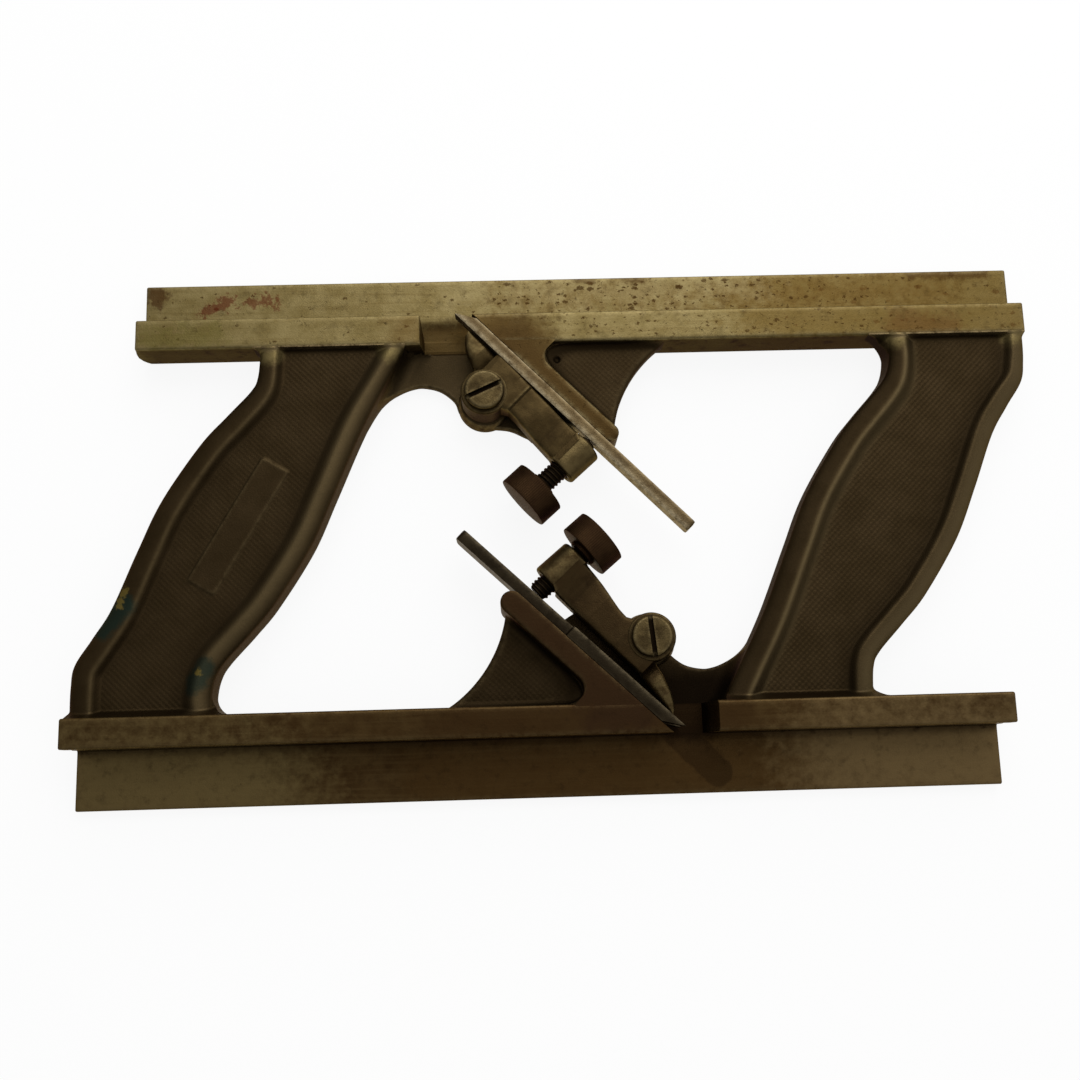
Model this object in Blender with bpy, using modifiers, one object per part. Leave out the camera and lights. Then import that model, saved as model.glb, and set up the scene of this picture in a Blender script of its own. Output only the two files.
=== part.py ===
"""Double-ended tongue and groove plane, lying on its back.

X runs along the rails, Y across them from the tongue end to the groove end, and Z up from the back.
The origin is under the middle of the plane. The tongue end is at -Y and the groove end at +Y.
"""

import math
from types import SimpleNamespace

import bmesh
import bpy
from mathutils import Matrix, Vector

MM = 0.001

# Running and seating clearance between pieces
GAP = 0.3 * MM

# Board that the plane matches, and its tongue
BOARD_THICKNESS = 15.875 * MM
TONGUE_WIDTH = 4.7625 * MM
TONGUE_LENGTH = 5.0 * MM
GROOVE_DEPTH = 5.5 * MM

# Rails and fences
RAIL_LENGTH = 266.7 * MM
RAIL_STAGGER = 16.0 * MM
RAIL_SPACING = 108.0 * MM
TONGUE_RAIL_DEPTH = 8.55 * MM
GROOVE_RAIL_DEPTH = 9.2 * MM
FENCE_THICKNESS = 3.5 * MM
TONGUE_FENCE_DROP = 17.15 * MM
GROOVE_FENCE_DROP = 14.7 * MM
RAIL_CHAMFER = 1.0 * MM

# Handles: points are (share of the rail spacing, distance in from the rail's end)
HANDLE_OUTER = ((0.0, 0.1), (0.08, 0.1), (0.14, 1.0), (0.21, 5.7), (0.29, 11.0), (0.44, 17.7),
                (0.58, 24.5), (0.73, 35.1), (0.81, 42.8), (0.88, 49.8), (0.92, 51.9), (1.0, 52.7))
HANDLE_INNER = ((0.0, 40.4), (0.05, 40.0), (0.1, 41.1), (0.14, 43.7), (0.215, 51.0), (0.29, 57.6),
                (0.44, 67.7), (0.58, 74.3), (0.73, 81.1), (0.81, 85.2), (0.9, 90.4), (1.0, 95.9))
HANDLE_BACK = 0.4 * MM
HANDLE_BELOW_FACE = 0.3 * MM
HANDLE_ROUND = 2.2 * MM
RIM_WIDTH = 6.2 * MM
PANEL_DEPTH = 3.8 * MM
PANEL_ROUND = 2.4 * MM
RIGHT_HANDLE_INSET = 1.2 * MM
ROOT = 2.0 * MM

# Cutter beds, throats and the webs behind the beds
TONGUE_MOUTH_X = 28.7 * MM
GROOVE_MOUTH_X = -25.35 * MM
TONGUE_BED_ANGLE = math.radians(43.6)
GROOVE_BED_ANGLE = math.radians(45.6)
TONGUE_THROAT = 12.7 * MM
GROOVE_THROAT = 15.65 * MM
TONGUE_LEDGE = 6.5 * MM
GROOVE_LEDGE = 5.0 * MM
TONGUE_LEDGE_LENGTH = 61.3 * MM
GROOVE_LEDGE_LENGTH = 57.5 * MM
LEDGE_BELOW_FACE = 0.2 * MM
WEB_SWEEP = 29.0 * MM
WEB_BACK = 4.2 * MM
WEB_FRONT = 9.7 * MM
FLOOR_TOP = 3.3 * MM
FLOOR_LENGTH = 43.5 * MM

# Free edge of the throat floor: points are (towards the handle, up from the rail) from the arch's crown
ARCH_RISE = 9.3 * MM
TONGUE_ARCH_X = 41.5 * MM
GROOVE_ARCH_X = -42.5 * MM
ARCH_EDGE = ((17.0, 8.1), (10.8, 2.9), (3.5, 0.3), (-1.7, 0.1), (-6.8, 1.9), (-11.0, 5.5), (-12.5, 9.1),
             (-15.1, 11.9), (-20.3, 14.0), (-27.5, 15.0), (-32.7, 17.4), (-36.9, 19.0))

# Cutters
CUTTER_THICKNESS = 3.175 * MM
CUTTER_BEVEL = math.radians(30.0)
CUTTER_SIDE = 0.15 * MM
TONGUE_CUTTER_LENGTH = 82.8 * MM
GROOVE_CUTTER_LENGTH = 90.6 * MM
TONGUE_CUTTER_DROP = -1.6 * MM
GROOVE_CUTTER_DROP = 0.2 * MM
TONGUE_HEAD_LENGTH = 40.4 * MM
TONGUE_HEAD_PROUD = 0.25 * MM
TONGUE_SHANK_WIDTH = 9.6 * MM
TONGUE_FORK_DEPTH = 14.0 * MM

# Clamp levers
TONGUE_SCREW_BACK = 53.9 * MM
GROOVE_SCREW_BACK = 52.0 * MM
TONGUE_PIVOT_RISE = 16.4 * MM
GROOVE_PIVOT_RISE = 15.2 * MM
LEVER_WIDTH = 9.8 * MM
ARM_WIDTH = 8.0 * MM
BOSS_RADIUS = 6.1 * MM
LOBE_RADIUS = 8.3 * MM
ARM_UNDERSIDE = 8.9 * MM
ARM_WAIST_BACK = 9.0 * MM
ARM_WAIST_DROP = 1.3 * MM
NOSE_REACH = 20.2 * MM
NOSE_DROP = 11.65 * MM
NOSE_RISE = 2.0 * MM
NOSE_LENGTH = 5.4 * MM
NOSE_HEIGHT = 5.1 * MM
NOSE_TIP = 0.9 * MM
BARREL_REACH = 31.8 * MM
BARREL_RADIUS = 5.4 * MM
BARREL_LENGTH = 10.6 * MM
BARREL_TOP = 1.2 * MM
BARREL_RAKE = math.radians(3.5)

# Thumbscrews
THREAD_RADIUS = 3.175 * MM
TIP_RADIUS = 2.3 * MM
TIP_LENGTH = 1.6 * MM
KNOB_RADIUS = 8.6 * MM
KNOB_THICKNESS = 7.0 * MM
KNOB_EDGE = 0.5 * MM
KNOB_DOME = 0.9 * MM
KNOB_HUB_RADIUS = 4.3 * MM
TONGUE_KNOB_STAND_OFF = 3.2 * MM
GROOVE_KNOB_STAND_OFF = 8.3 * MM

# Pivot screws
PIVOT_RADIUS = 3.4 * MM
PIVOT_THREAD_RADIUS = 2.8 * MM
PIVOT_HEAD_RADIUS = 5.65 * MM
PIVOT_HEAD_HEIGHT = 2.2 * MM
PIVOT_HEAD_EDGE = 0.5 * MM
PIVOT_SLOT_WIDTH = 1.1 * MM
PIVOT_SLOT_DEPTH = 1.2 * MM
TONGUE_SLOT_ANGLE = math.radians(95.5)
GROOVE_SLOT_ANGLE = math.radians(24.0)

# How finely round shapes are cut
ROUND_SIDES = 32
CURVE_STEPS = 3
ROUNDING_STEPS = 1
WEB_STEPS = 10
LEDGE_STEPS = 8
FAR = 400.0 * MM

# Places worked out from the sizes above
OVERALL_WIDTH = TONGUE_FENCE_DROP + TONGUE_RAIL_DEPTH + RAIL_SPACING + GROOVE_RAIL_DEPTH + GROOVE_FENCE_DROP
TONGUE_SOLE = TONGUE_FENCE_DROP - OVERALL_WIDTH / 2
TONGUE_RAIL_EDGE = TONGUE_SOLE + TONGUE_RAIL_DEPTH
GROOVE_RAIL_EDGE = TONGUE_RAIL_EDGE + RAIL_SPACING
GROOVE_SOLE = GROOVE_RAIL_EDGE + GROOVE_RAIL_DEPTH
TONGUE_RAIL_X = -RAIL_STAGGER / 2
GROOVE_RAIL_X = RAIL_STAGGER / 2
TONGUE_LOW = FENCE_THICKNESS + (BOARD_THICKNESS - TONGUE_WIDTH) / 2
TONGUE_HIGH = TONGUE_LOW + TONGUE_WIDTH
TONGUE_MIDDLE = (TONGUE_LOW + TONGUE_HIGH) / 2
TONGUE_FACE = FENCE_THICKNESS + BOARD_THICKNESS
GROOVE_FACE = TONGUE_HIGH
HANDLE_FRONT = GROOVE_FACE - HANDLE_BELOW_FACE
CUTTER_TOP = GAP + CUTTER_THICKNESS
LEVER_LOW = TONGUE_MIDDLE - LEVER_WIDTH / 2
LEVER_HIGH = TONGUE_MIDDLE + LEVER_WIDTH / 2


def remove_everything():
    for obj in list(bpy.data.objects):
        bpy.data.objects.remove(obj, do_unlink=True)


def new_collection(name):
    collection = bpy.data.collections.new(name)
    bpy.context.scene.collection.children.link(collection)
    return collection


def new_material(name, colour, roughness, metallic):
    material = bpy.data.materials.new(name)
    material.use_nodes = True
    shader = material.node_tree.nodes["Principled BSDF"]
    shader.inputs["Base Color"].default_value = (*colour, 1.0)
    shader.inputs["Roughness"].default_value = roughness
    shader.inputs["Metallic"].default_value = metallic
    return material


def smooth_run(points, steps=CURVE_STEPS):
    """Catmull-Rom curve through the points, with a fixed number of steps to each span."""
    ends = [2 * points[0] - points[1], *points, 2 * points[-1] - points[-2]]
    run = []
    for before, start, end, after in zip(ends, ends[1:], ends[2:], ends[3:]):
        for step in range(steps):
            t = step / steps
            run.append(0.5 * (2 * start + (end - before) * t
                              + (2 * before - 5 * start + 4 * end - after) * t ** 2
                              + (3 * start - before - 3 * end + after) * t ** 3))
    run.append(points[-1])
    return run


def arc(centre, radius, start, end, steps):
    turns = [start + (end - start) * step / steps for step in range(steps + 1)]
    return [centre + radius * Vector((math.cos(turn), math.sin(turn))) for turn in turns]


def beside(run, distance):
    """The run moved sideways, to its left where the distance is positive."""
    moved = []
    for index, point in enumerate(run):
        along = (run[min(index + 1, len(run) - 1)] - run[max(index - 1, 0)]).normalized()
        moved.append(point + distance * Vector((-along.y, along.x)))
    return moved


def as_mesh(obj):
    """The object with its evaluated shape as a plain welded mesh."""
    bpy.context.view_layer.update()
    depsgraph = bpy.context.evaluated_depsgraph_get()
    mesh = bpy.data.meshes.new_from_object(obj.evaluated_get(depsgraph))
    shape = bmesh.new()
    shape.from_mesh(mesh)
    bmesh.ops.remove_doubles(shape, verts=shape.verts, dist=0.001 * MM)
    bmesh.ops.recalc_face_normals(shape, faces=shape.faces)
    shape.to_mesh(mesh)
    shape.free()
    solid = bpy.data.objects.new(obj.name, mesh)
    solid.matrix_world = obj.matrix_world
    for collection in obj.users_collection:
        collection.objects.link(solid)
    name = obj.name
    bpy.data.objects.remove(obj, do_unlink=True)
    solid.name = name
    return solid


def outline_solid(name, points, low, high, rounding=0.0):
    """A flat outline given thickness from low to high, with its rims rounded over."""
    curve = bpy.data.curves.new(name, "CURVE")
    curve.dimensions = "2D"
    curve.fill_mode = "BOTH"
    curve.extrude = (high - low) / 2 - rounding
    curve.bevel_depth = rounding
    curve.bevel_resolution = ROUNDING_STEPS
    curve.offset = -rounding
    spline = curve.splines.new("POLY")
    spline.points.add(len(points) - 1)
    for target, point in zip(spline.points, points):
        target.co = (point[0], point[1], 0.0, 1.0)
    spline.use_cyclic_u = True
    obj = bpy.data.objects.new(name, curve)
    obj.location.z = (low + high) / 2
    shaping.objects.link(obj)
    return as_mesh(obj)


def along_rail(name, section, middle, length):
    """A section of (Y, Z) points carried along X."""
    bar = outline_solid(name, section, -length / 2, length / 2)
    bar.location = (middle, 0.0, 0.0)
    bar.rotation_euler = (math.pi / 2, 0.0, math.pi / 2)
    return bar


def cylinder(name, radius, low, high, centre=(0.0, 0.0)):
    bpy.ops.mesh.primitive_cylinder_add(vertices=ROUND_SIDES, radius=radius, depth=high - low)
    obj = bpy.context.object
    obj.name = name
    obj.location = (centre[0], centre[1], (low + high) / 2)
    return to_collection(obj, shaping)


def box(name, low, high):
    bpy.ops.mesh.primitive_cube_add(size=1.0)
    obj = bpy.context.object
    obj.name = name
    size = [b - a for a, b in zip(low, high)]
    obj.data.transform(Matrix.Diagonal((*size, 1.0)))
    obj.location = [(a + b) / 2 for a, b in zip(low, high)]
    return to_collection(obj, shaping)


def turned(name, profile):
    """A profile of (radius, height) points, listed top to bottom, turned about Z."""
    mesh = bpy.data.meshes.new(name)
    edges = [(index, index + 1) for index in range(len(profile) - 1)]
    mesh.from_pydata([(radius, 0.0, height) for radius, height in profile], edges, [])
    obj = bpy.data.objects.new(name, mesh)
    shaping.objects.link(obj)
    screw = obj.modifiers.new("Turn", "SCREW")
    screw.steps = ROUND_SIDES
    screw.render_steps = ROUND_SIDES
    screw.use_merge_vertices = True
    screw.merge_threshold = 0.01 * MM
    return as_mesh(obj)


def to_collection(obj, collection):
    for old in list(obj.users_collection):
        old.objects.unlink(obj)
    collection.objects.link(obj)
    return obj


def combine(target, other, operation, solver="EXACT"):
    """Join or cut with a helper shape that stays in the scene as a hidden wire."""
    modifier = target.modifiers.new(f"{operation.title()} {other.name}", "BOOLEAN")
    modifier.operation = operation
    modifier.solver = solver
    modifier.object = other
    other.hide_render = True
    other.display_type = "WIRE"
    return target


def finish(obj, name, material):
    """Name the piece, give it its material and move it among the plane's parts."""
    obj.name = name
    obj.data.name = name
    obj.data.materials.clear()
    obj.data.materials.append(material)
    obj.data.shade_smooth()
    obj.data.set_sharp_from_angle(angle=math.radians(30.0))
    return to_collection(obj, parts)


def new_empty(name, frame):
    empty = bpy.data.objects.new(name, None)
    empty.matrix_world = frame
    empty.empty_display_size = 10 * MM
    parts.objects.link(empty)
    return empty


def describe_end(name, mouth, turn, side, **sizes):
    """One end of the plane. In its frame X runs down the bed to the mouth and Y from the bed to the lever."""
    frame = Matrix.Translation((*mouth, 0.0)) @ Matrix.Rotation(turn, 4, "Z")
    end = SimpleNamespace(name=name, mouth=Vector(mouth), turn=turn, side=side, frame=frame, **sizes)
    end.pivot = Vector((BARREL_REACH - end.screw_back, end.pivot_rise))
    reach = math.hypot(NOSE_REACH, NOSE_DROP)
    press = end.pivot_rise - CUTTER_TOP - GAP
    end.lever_tilt = math.asin(press / reach) - math.atan2(NOSE_DROP, NOSE_REACH)
    return end


def in_plan(end, points):
    return [(end.frame @ Vector((x, y, 0.0))).xy for x, y in points]


def handle(name, rail_end, side):
    """Slanting handle, panelled on both faces, its foot on the tongue rail (side 1) or groove rail (-1)."""
    foot = TONGUE_RAIL_EDGE if side > 0 else GROOVE_RAIL_EDGE

    def edge(points):
        places = [(rail_end + side * inset * MM, foot + side * share * RAIL_SPACING) for share, inset in points]
        return smooth_run([Vector(place) for place in places])

    def rooted(run, root):
        return [run[0] - Vector((0.0, side * root)), *run, run[-1] + Vector((0.0, side * root))]

    outer = edge(HANDLE_OUTER)
    inner = edge(HANDLE_INNER)
    deep = 2 * HANDLE_ROUND
    past = deep + PANEL_ROUND
    body = rooted(outer, deep) + rooted(inner, deep)[::-1]
    solid = outline_solid(name, body, HANDLE_BACK, HANDLE_FRONT, HANDLE_ROUND)
    panel = rooted(beside(outer, -RIM_WIDTH), past) + rooted(beside(inner, RIM_WIDTH), past)[::-1]
    near_floor = HANDLE_FRONT - PANEL_DEPTH
    back_floor = HANDLE_BACK + PANEL_DEPTH
    near_panel = outline_solid(f"{name}_near_panel", panel, near_floor, TONGUE_FACE, PANEL_ROUND)
    back_panel = outline_solid(f"{name}_back_panel", panel, -TONGUE_FACE, back_floor, PANEL_ROUND)
    combine(solid, near_panel, "DIFFERENCE")
    combine(solid, back_panel, "DIFFERENCE")
    return solid


def web(end):
    """Thin web behind the bed: its free edge is an arc that leaves the rail at a tangent."""
    ledge_end = in_plan(end, [(-end.ledge_length + end.ledge / 2, -0.9 * end.ledge)])[0]
    centre_y = end.rail_edge + end.side * WEB_SWEEP
    rise = min(max(centre_y - ledge_end.y, -WEB_SWEEP), WEB_SWEEP)
    centre = Vector((ledge_end.x - end.side * math.sqrt(WEB_SWEEP ** 2 - rise ** 2), centre_y))
    last = math.atan2(ledge_end.y - centre.y, ledge_end.x - centre.x)
    first = -math.pi / 2 if end.side > 0 else math.pi / 2
    sweep = (last - first + math.pi) % (2 * math.pi) - math.pi
    edge = arc(centre, WEB_SWEEP, first, first + sweep, WEB_STEPS)
    foot = end.rail_edge - end.side * ROOT
    inside = in_plan(end, [(-end.rail_depth, -end.ledge / 2)])[0]
    points = [Vector((edge[0].x, foot)), *edge, Vector((inside.x, foot))]
    return outline_solid(f"{end.name}_web", points, WEB_BACK, WEB_FRONT)


def ledge(end):
    """Bed flange that the cutter lies on, with a rounded free end."""
    half = end.ledge / 2
    nose = arc(Vector((-end.ledge_length + half, -half)), half, math.pi / 2, 1.5 * math.pi, LEDGE_STEPS)
    foot = -end.rail_depth
    points = in_plan(end, [(foot, 0.0), *nose, (foot, -end.ledge)])
    return outline_solid(f"{end.name}_ledge", points, HANDLE_BACK, end.face - LEDGE_BELOW_FACE)


def throat_floor(end):
    """Thin floor behind the throat: it runs under the lever and arches over to the handle."""
    crown = Vector((end.arch_x, end.rail_edge + end.side * ARCH_RISE))
    free_edge = smooth_run([crown + end.side * MM * Vector(point) for point in ARCH_EDGE])
    behind_bed = in_plan(end, [(-FLOOR_LENGTH, -ROOT)])
    foot = end.sole + end.side * ROOT
    points = [Vector((free_edge[0].x, foot)), *free_edge, *behind_bed, Vector((end.mouth.x, foot))]
    return outline_solid(f"{end.name}_floor", points, HANDLE_BACK, FLOOR_TOP)


def throat_cut(end):
    """Clears the rail between the cutter bed and the block in front of the mouth."""
    past = 3 * ROOT
    up = (end.rail_depth + past) / math.sin(end.bed_angle)
    bed_low, bed_high = in_plan(end, [(past, 0.0), (-up, 0.0)])
    block = end.mouth.x + end.side * end.throat
    points = [bed_low, bed_high, Vector((block, bed_high.y)), Vector((block, bed_low.y))]
    return outline_solid(f"{end.name}_throat", points, FENCE_THICKNESS, FAR)


def make_stock(ends):
    """One casting: both rails with their fences, the handles, the beds and the pivot lobes."""
    tongue, groove = ends
    fence_low = -OVERALL_WIDTH / 2
    fence_high = OVERALL_WIDTH / 2
    tongue_section = [(fence_low, 0.0), (TONGUE_RAIL_EDGE - RAIL_CHAMFER, 0.0),
                      (TONGUE_RAIL_EDGE, RAIL_CHAMFER), (TONGUE_RAIL_EDGE, TONGUE_FACE),
                      (TONGUE_SOLE, TONGUE_FACE), (TONGUE_SOLE, FENCE_THICKNESS), (fence_low, FENCE_THICKNESS)]
    groove_section = [(fence_high, 0.0), (fence_high, FENCE_THICKNESS), (GROOVE_SOLE, FENCE_THICKNESS),
                      (GROOVE_SOLE, GROOVE_FACE), (GROOVE_RAIL_EDGE, GROOVE_FACE),
                      (GROOVE_RAIL_EDGE, RAIL_CHAMFER), (GROOVE_RAIL_EDGE + RAIL_CHAMFER, 0.0)]
    stock = along_rail("tongue_rail", tongue_section, TONGUE_RAIL_X, RAIL_LENGTH)
    groove_rail = along_rail("groove_rail", groove_section, GROOVE_RAIL_X, RAIL_LENGTH)
    combine(stock, throat_cut(tongue), "DIFFERENCE")
    combine(groove_rail, throat_cut(groove), "DIFFERENCE")

    left_end = TONGUE_RAIL_X - RAIL_LENGTH / 2
    right_end = GROOVE_RAIL_X + RAIL_LENGTH / 2 - RIGHT_HANDLE_INSET
    joined = [handle("left_handle", left_end, 1), groove_rail, handle("right_handle", right_end, -1)]
    cut = []
    for end in ends:
        pivot = in_plan(end, [end.pivot])[0]
        lobe = cylinder(f"{end.name}_lobe", LOBE_RADIUS, HANDLE_BACK, LEVER_LOW - GAP, pivot)
        joined += [throat_floor(end), web(end), ledge(end), lobe]
        cut.append(cylinder(f"{end.name}_pivot_hole", PIVOT_THREAD_RADIUS + GAP, -FAR, FAR, pivot))
    cut.append(box("tongue_slot", (-FAR, TONGUE_SOLE - ROOT, TONGUE_LOW),
                   (FAR, TONGUE_SOLE + TONGUE_LENGTH, TONGUE_HIGH)))
    cut.append(box("skate_relief", (-FAR, GROOVE_SOLE - GROOVE_DEPTH, FENCE_THICKNESS),
                   (FAR, GROOVE_SOLE + ROOT, TONGUE_LOW)))

    # The handles' long thin rims come apart in the exact solver
    for shape in joined:
        combine(stock, shape, "UNION", "MANIFOLD")
    for shape in cut:
        combine(stock, shape, "DIFFERENCE", "MANIFOLD")
    return finish(as_mesh(stock), "stock", browned_iron)


def cutter_side(end):
    """Side view of a cutter on its bed, with the edge ground from the bed side."""
    edge = (end.cutter_drop + CUTTER_TOP * math.cos(end.bed_angle)) / math.sin(end.bed_angle)
    heel = edge - CUTTER_THICKNESS / math.tan(CUTTER_BEVEL)
    back = -end.cutter_length
    return edge, [(edge, CUTTER_TOP), (heel, GAP), (back, GAP), (back, CUTTER_TOP)]


def make_tongue_cutter(end):
    """Wide head with a slot for the tongue, and a narrower shank."""
    edge, side = cutter_side(end)
    low = FENCE_THICKNESS + GAP
    high = TONGUE_FACE + TONGUE_HEAD_PROUD
    half = TONGUE_SHANK_WIDTH / 2
    cutter = outline_solid("tongue_iron", side, low, high)
    shank_back = (-end.cutter_length - ROOT, -ROOT)
    shank_front = (-TONGUE_HEAD_LENGTH, CUTTER_TOP + ROOT)
    under = box("shank_under", (*shank_back, -FAR), (*shank_front, TONGUE_MIDDLE - half))
    over = box("shank_over", (*shank_back, TONGUE_MIDDLE + half), (*shank_front, FAR))
    fork = box("tongue_fork", (edge - TONGUE_FORK_DEPTH, -ROOT, TONGUE_LOW),
               (edge + ROOT, CUTTER_TOP + ROOT, TONGUE_HIGH))
    for shape in (under, over, fork):
        combine(cutter, shape, "DIFFERENCE")
    cutter = finish(as_mesh(cutter), "tongue_cutter", cutter_steel)
    cutter.parent = end.bed
    return cutter


def make_groove_cutter(end):
    """Plain narrow bar, a little wider than the skate so that it clears its own groove."""
    side = cutter_side(end)[1]
    cutter = outline_solid("groove_iron", side, TONGUE_LOW - CUTTER_SIDE, TONGUE_HIGH + CUTTER_SIDE)
    cutter = finish(cutter, "groove_cutter", cutter_steel)
    cutter.location.xy = (0.0, 0.0)
    cutter.parent = end.bed
    return cutter


def barrel_axis():
    """Middle of the lever's barrel and the direction of its bore, in the lever's frame."""
    direction = Vector((math.sin(BARREL_RAKE), math.cos(BARREL_RAKE)))
    top = Vector((-BARREL_REACH, BARREL_TOP))
    return top - direction * BARREL_LENGTH / 2, direction


def lie_along_barrel(obj):
    """Turns a piece made about Z so that it lies along the barrel's bore."""
    middle = barrel_axis()[0]
    obj.location = (middle.x, middle.y, TONGUE_MIDDLE)
    obj.rotation_euler = (-math.pi / 2, 0.0, -BARREL_RAKE)
    return obj


def make_lever(end):
    """Rocking clamp: boss on the pivot, nose on the cutter, barrel for the thumbscrew at the far end."""
    name = f"{end.name}_clamp_lever"
    arm_low = TONGUE_MIDDLE - ARM_WIDTH / 2
    arm_high = TONGUE_MIDDLE + ARM_WIDTH / 2
    nose_low = arm_low + GAP
    nose_high = TONGUE_MIDDLE + NOSE_RISE
    arm_top = BARREL_TOP - GAP
    half_boss = BOSS_RADIUS / 2
    arm = [(half_boss, -ARM_UNDERSIDE), (-BARREL_REACH, -ARM_UNDERSIDE), (-BARREL_REACH, arm_top),
           (-BARREL_REACH + BARREL_RADIUS / 2, arm_top), (-ARM_WAIST_BACK, -ARM_WAIST_DROP),
           (-half_boss, half_boss), (half_boss, 0.0), (BOSS_RADIUS, -half_boss)]
    tip = Vector((NOSE_REACH, -NOSE_DROP))
    back = smooth_run([Vector((half_boss, -half_boss)), tip + Vector((-NOSE_LENGTH, NOSE_HEIGHT)),
                       tip + Vector((-NOSE_TIP, NOSE_HEIGHT / 2)), tip])
    nose = [*back, Vector((half_boss, -ARM_UNDERSIDE + GAP))]
    lever = cylinder(f"{name}_boss", BOSS_RADIUS, LEVER_LOW, LEVER_HIGH)
    combine(lever, outline_solid(f"{name}_arm", arm, arm_low, arm_high), "UNION")
    combine(lever, outline_solid(f"{name}_nose", nose, nose_low, nose_high), "UNION")
    barrel = cylinder(f"{name}_barrel", BARREL_RADIUS, -BARREL_LENGTH / 2, BARREL_LENGTH / 2)
    combine(lever, lie_along_barrel(barrel), "UNION")
    combine(lever, cylinder(f"{name}_bore", PIVOT_RADIUS + GAP, -FAR, FAR), "DIFFERENCE")
    screw_hole = cylinder(f"{name}_screw_hole", THREAD_RADIUS + GAP, -BARREL_LENGTH, BARREL_LENGTH)
    combine(lever, lie_along_barrel(screw_hole), "DIFFERENCE")
    lever = as_mesh(lever)
    lever.data.transform(lever.matrix_world)
    lever.matrix_world = Matrix()
    lever = finish(lever, name, lever_iron)
    lever.parent = end.bed
    lever.location = (end.pivot.x, end.pivot.y, 0.0)
    lever.rotation_euler.z = -end.lever_tilt
    return lever


def make_thumbscrew(end, lever):
    """Knurled thumbscrew through the barrel, its tip just clear of the cutter."""
    middle = barrel_axis()[0]
    lean = end.lever_tilt + BARREL_RAKE
    height = end.pivot_rise - middle.x * math.sin(end.lever_tilt) + middle.y * math.cos(end.lever_tilt)
    tip = (CUTTER_TOP + GAP + TIP_RADIUS * math.sin(abs(lean)) - height) / math.cos(lean)
    inner_face = BARREL_LENGTH / 2 + end.knob_stand_off
    outer_face = inner_face + KNOB_THICKNESS
    rim = KNOB_RADIUS - KNOB_EDGE
    dome_half = outer_face + 0.75 * KNOB_DOME
    hub_face = inner_face - KNOB_DOME
    profile = [(0.0, outer_face + KNOB_DOME), (rim / 2, dome_half), (rim, outer_face),
               (KNOB_RADIUS, outer_face - KNOB_EDGE), (KNOB_RADIUS, inner_face + KNOB_EDGE), (rim, inner_face),
               (KNOB_HUB_RADIUS, hub_face), (THREAD_RADIUS, hub_face), (THREAD_RADIUS, tip + TIP_LENGTH),
               (TIP_RADIUS, tip + TIP_LENGTH / 2), (TIP_RADIUS, tip), (0.0, tip)]
    screw = finish(turned("screw", profile), f"{end.name}_thumbscrew", dark_steel)
    screw.parent = lever
    return lie_along_barrel(screw)


def make_pivot_screw(end):
    """Slotted shoulder screw: the lever turns on the shoulder and the thread stands in the stock's lobe."""
    seat = LEVER_HIGH + GAP
    top = seat + PIVOT_HEAD_HEIGHT
    shoulder = LEVER_LOW
    edge = PIVOT_HEAD_EDGE
    profile = [(0.0, top), (PIVOT_HEAD_RADIUS - edge, top - edge / 2), (PIVOT_HEAD_RADIUS, top - 2 * edge),
               (PIVOT_HEAD_RADIUS, seat), (PIVOT_RADIUS, seat), (PIVOT_RADIUS, shoulder),
               (PIVOT_THREAD_RADIUS, shoulder), (PIVOT_THREAD_RADIUS, HANDLE_BACK), (0.0, HANDLE_BACK)]
    screw = turned("pivot", profile)
    half = PIVOT_SLOT_WIDTH / 2
    slot = box(f"{end.name}_screw_slot", (-FAR, -half, top - PIVOT_SLOT_DEPTH), (FAR, half, top + ROOT))
    slot.rotation_euler.z = end.slot_angle
    combine(screw, slot, "DIFFERENCE")
    screw = finish(as_mesh(screw), f"{end.name}_pivot_screw", screw_steel)
    pivot = in_plan(end, [end.pivot])[0]
    screw.location = (pivot.x, pivot.y, 0.0)
    return screw


remove_everything()
parts = new_collection("tongue_and_groove_plane")
shaping = new_collection("shaping_solids")

browned_iron = new_material("browned cast iron", (0.15, 0.115, 0.075), 0.5, 0.75)
cutter_steel = new_material("cutter steel", (0.24, 0.21, 0.17), 0.42, 0.85)
lever_iron = new_material("worn lever iron", (0.2, 0.16, 0.09), 0.45, 0.8)
screw_steel = new_material("pale screw steel", (0.27, 0.23, 0.15), 0.42, 0.85)
dark_steel = new_material("dark knurled steel", (0.075, 0.055, 0.04), 0.5, 0.7)

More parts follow.
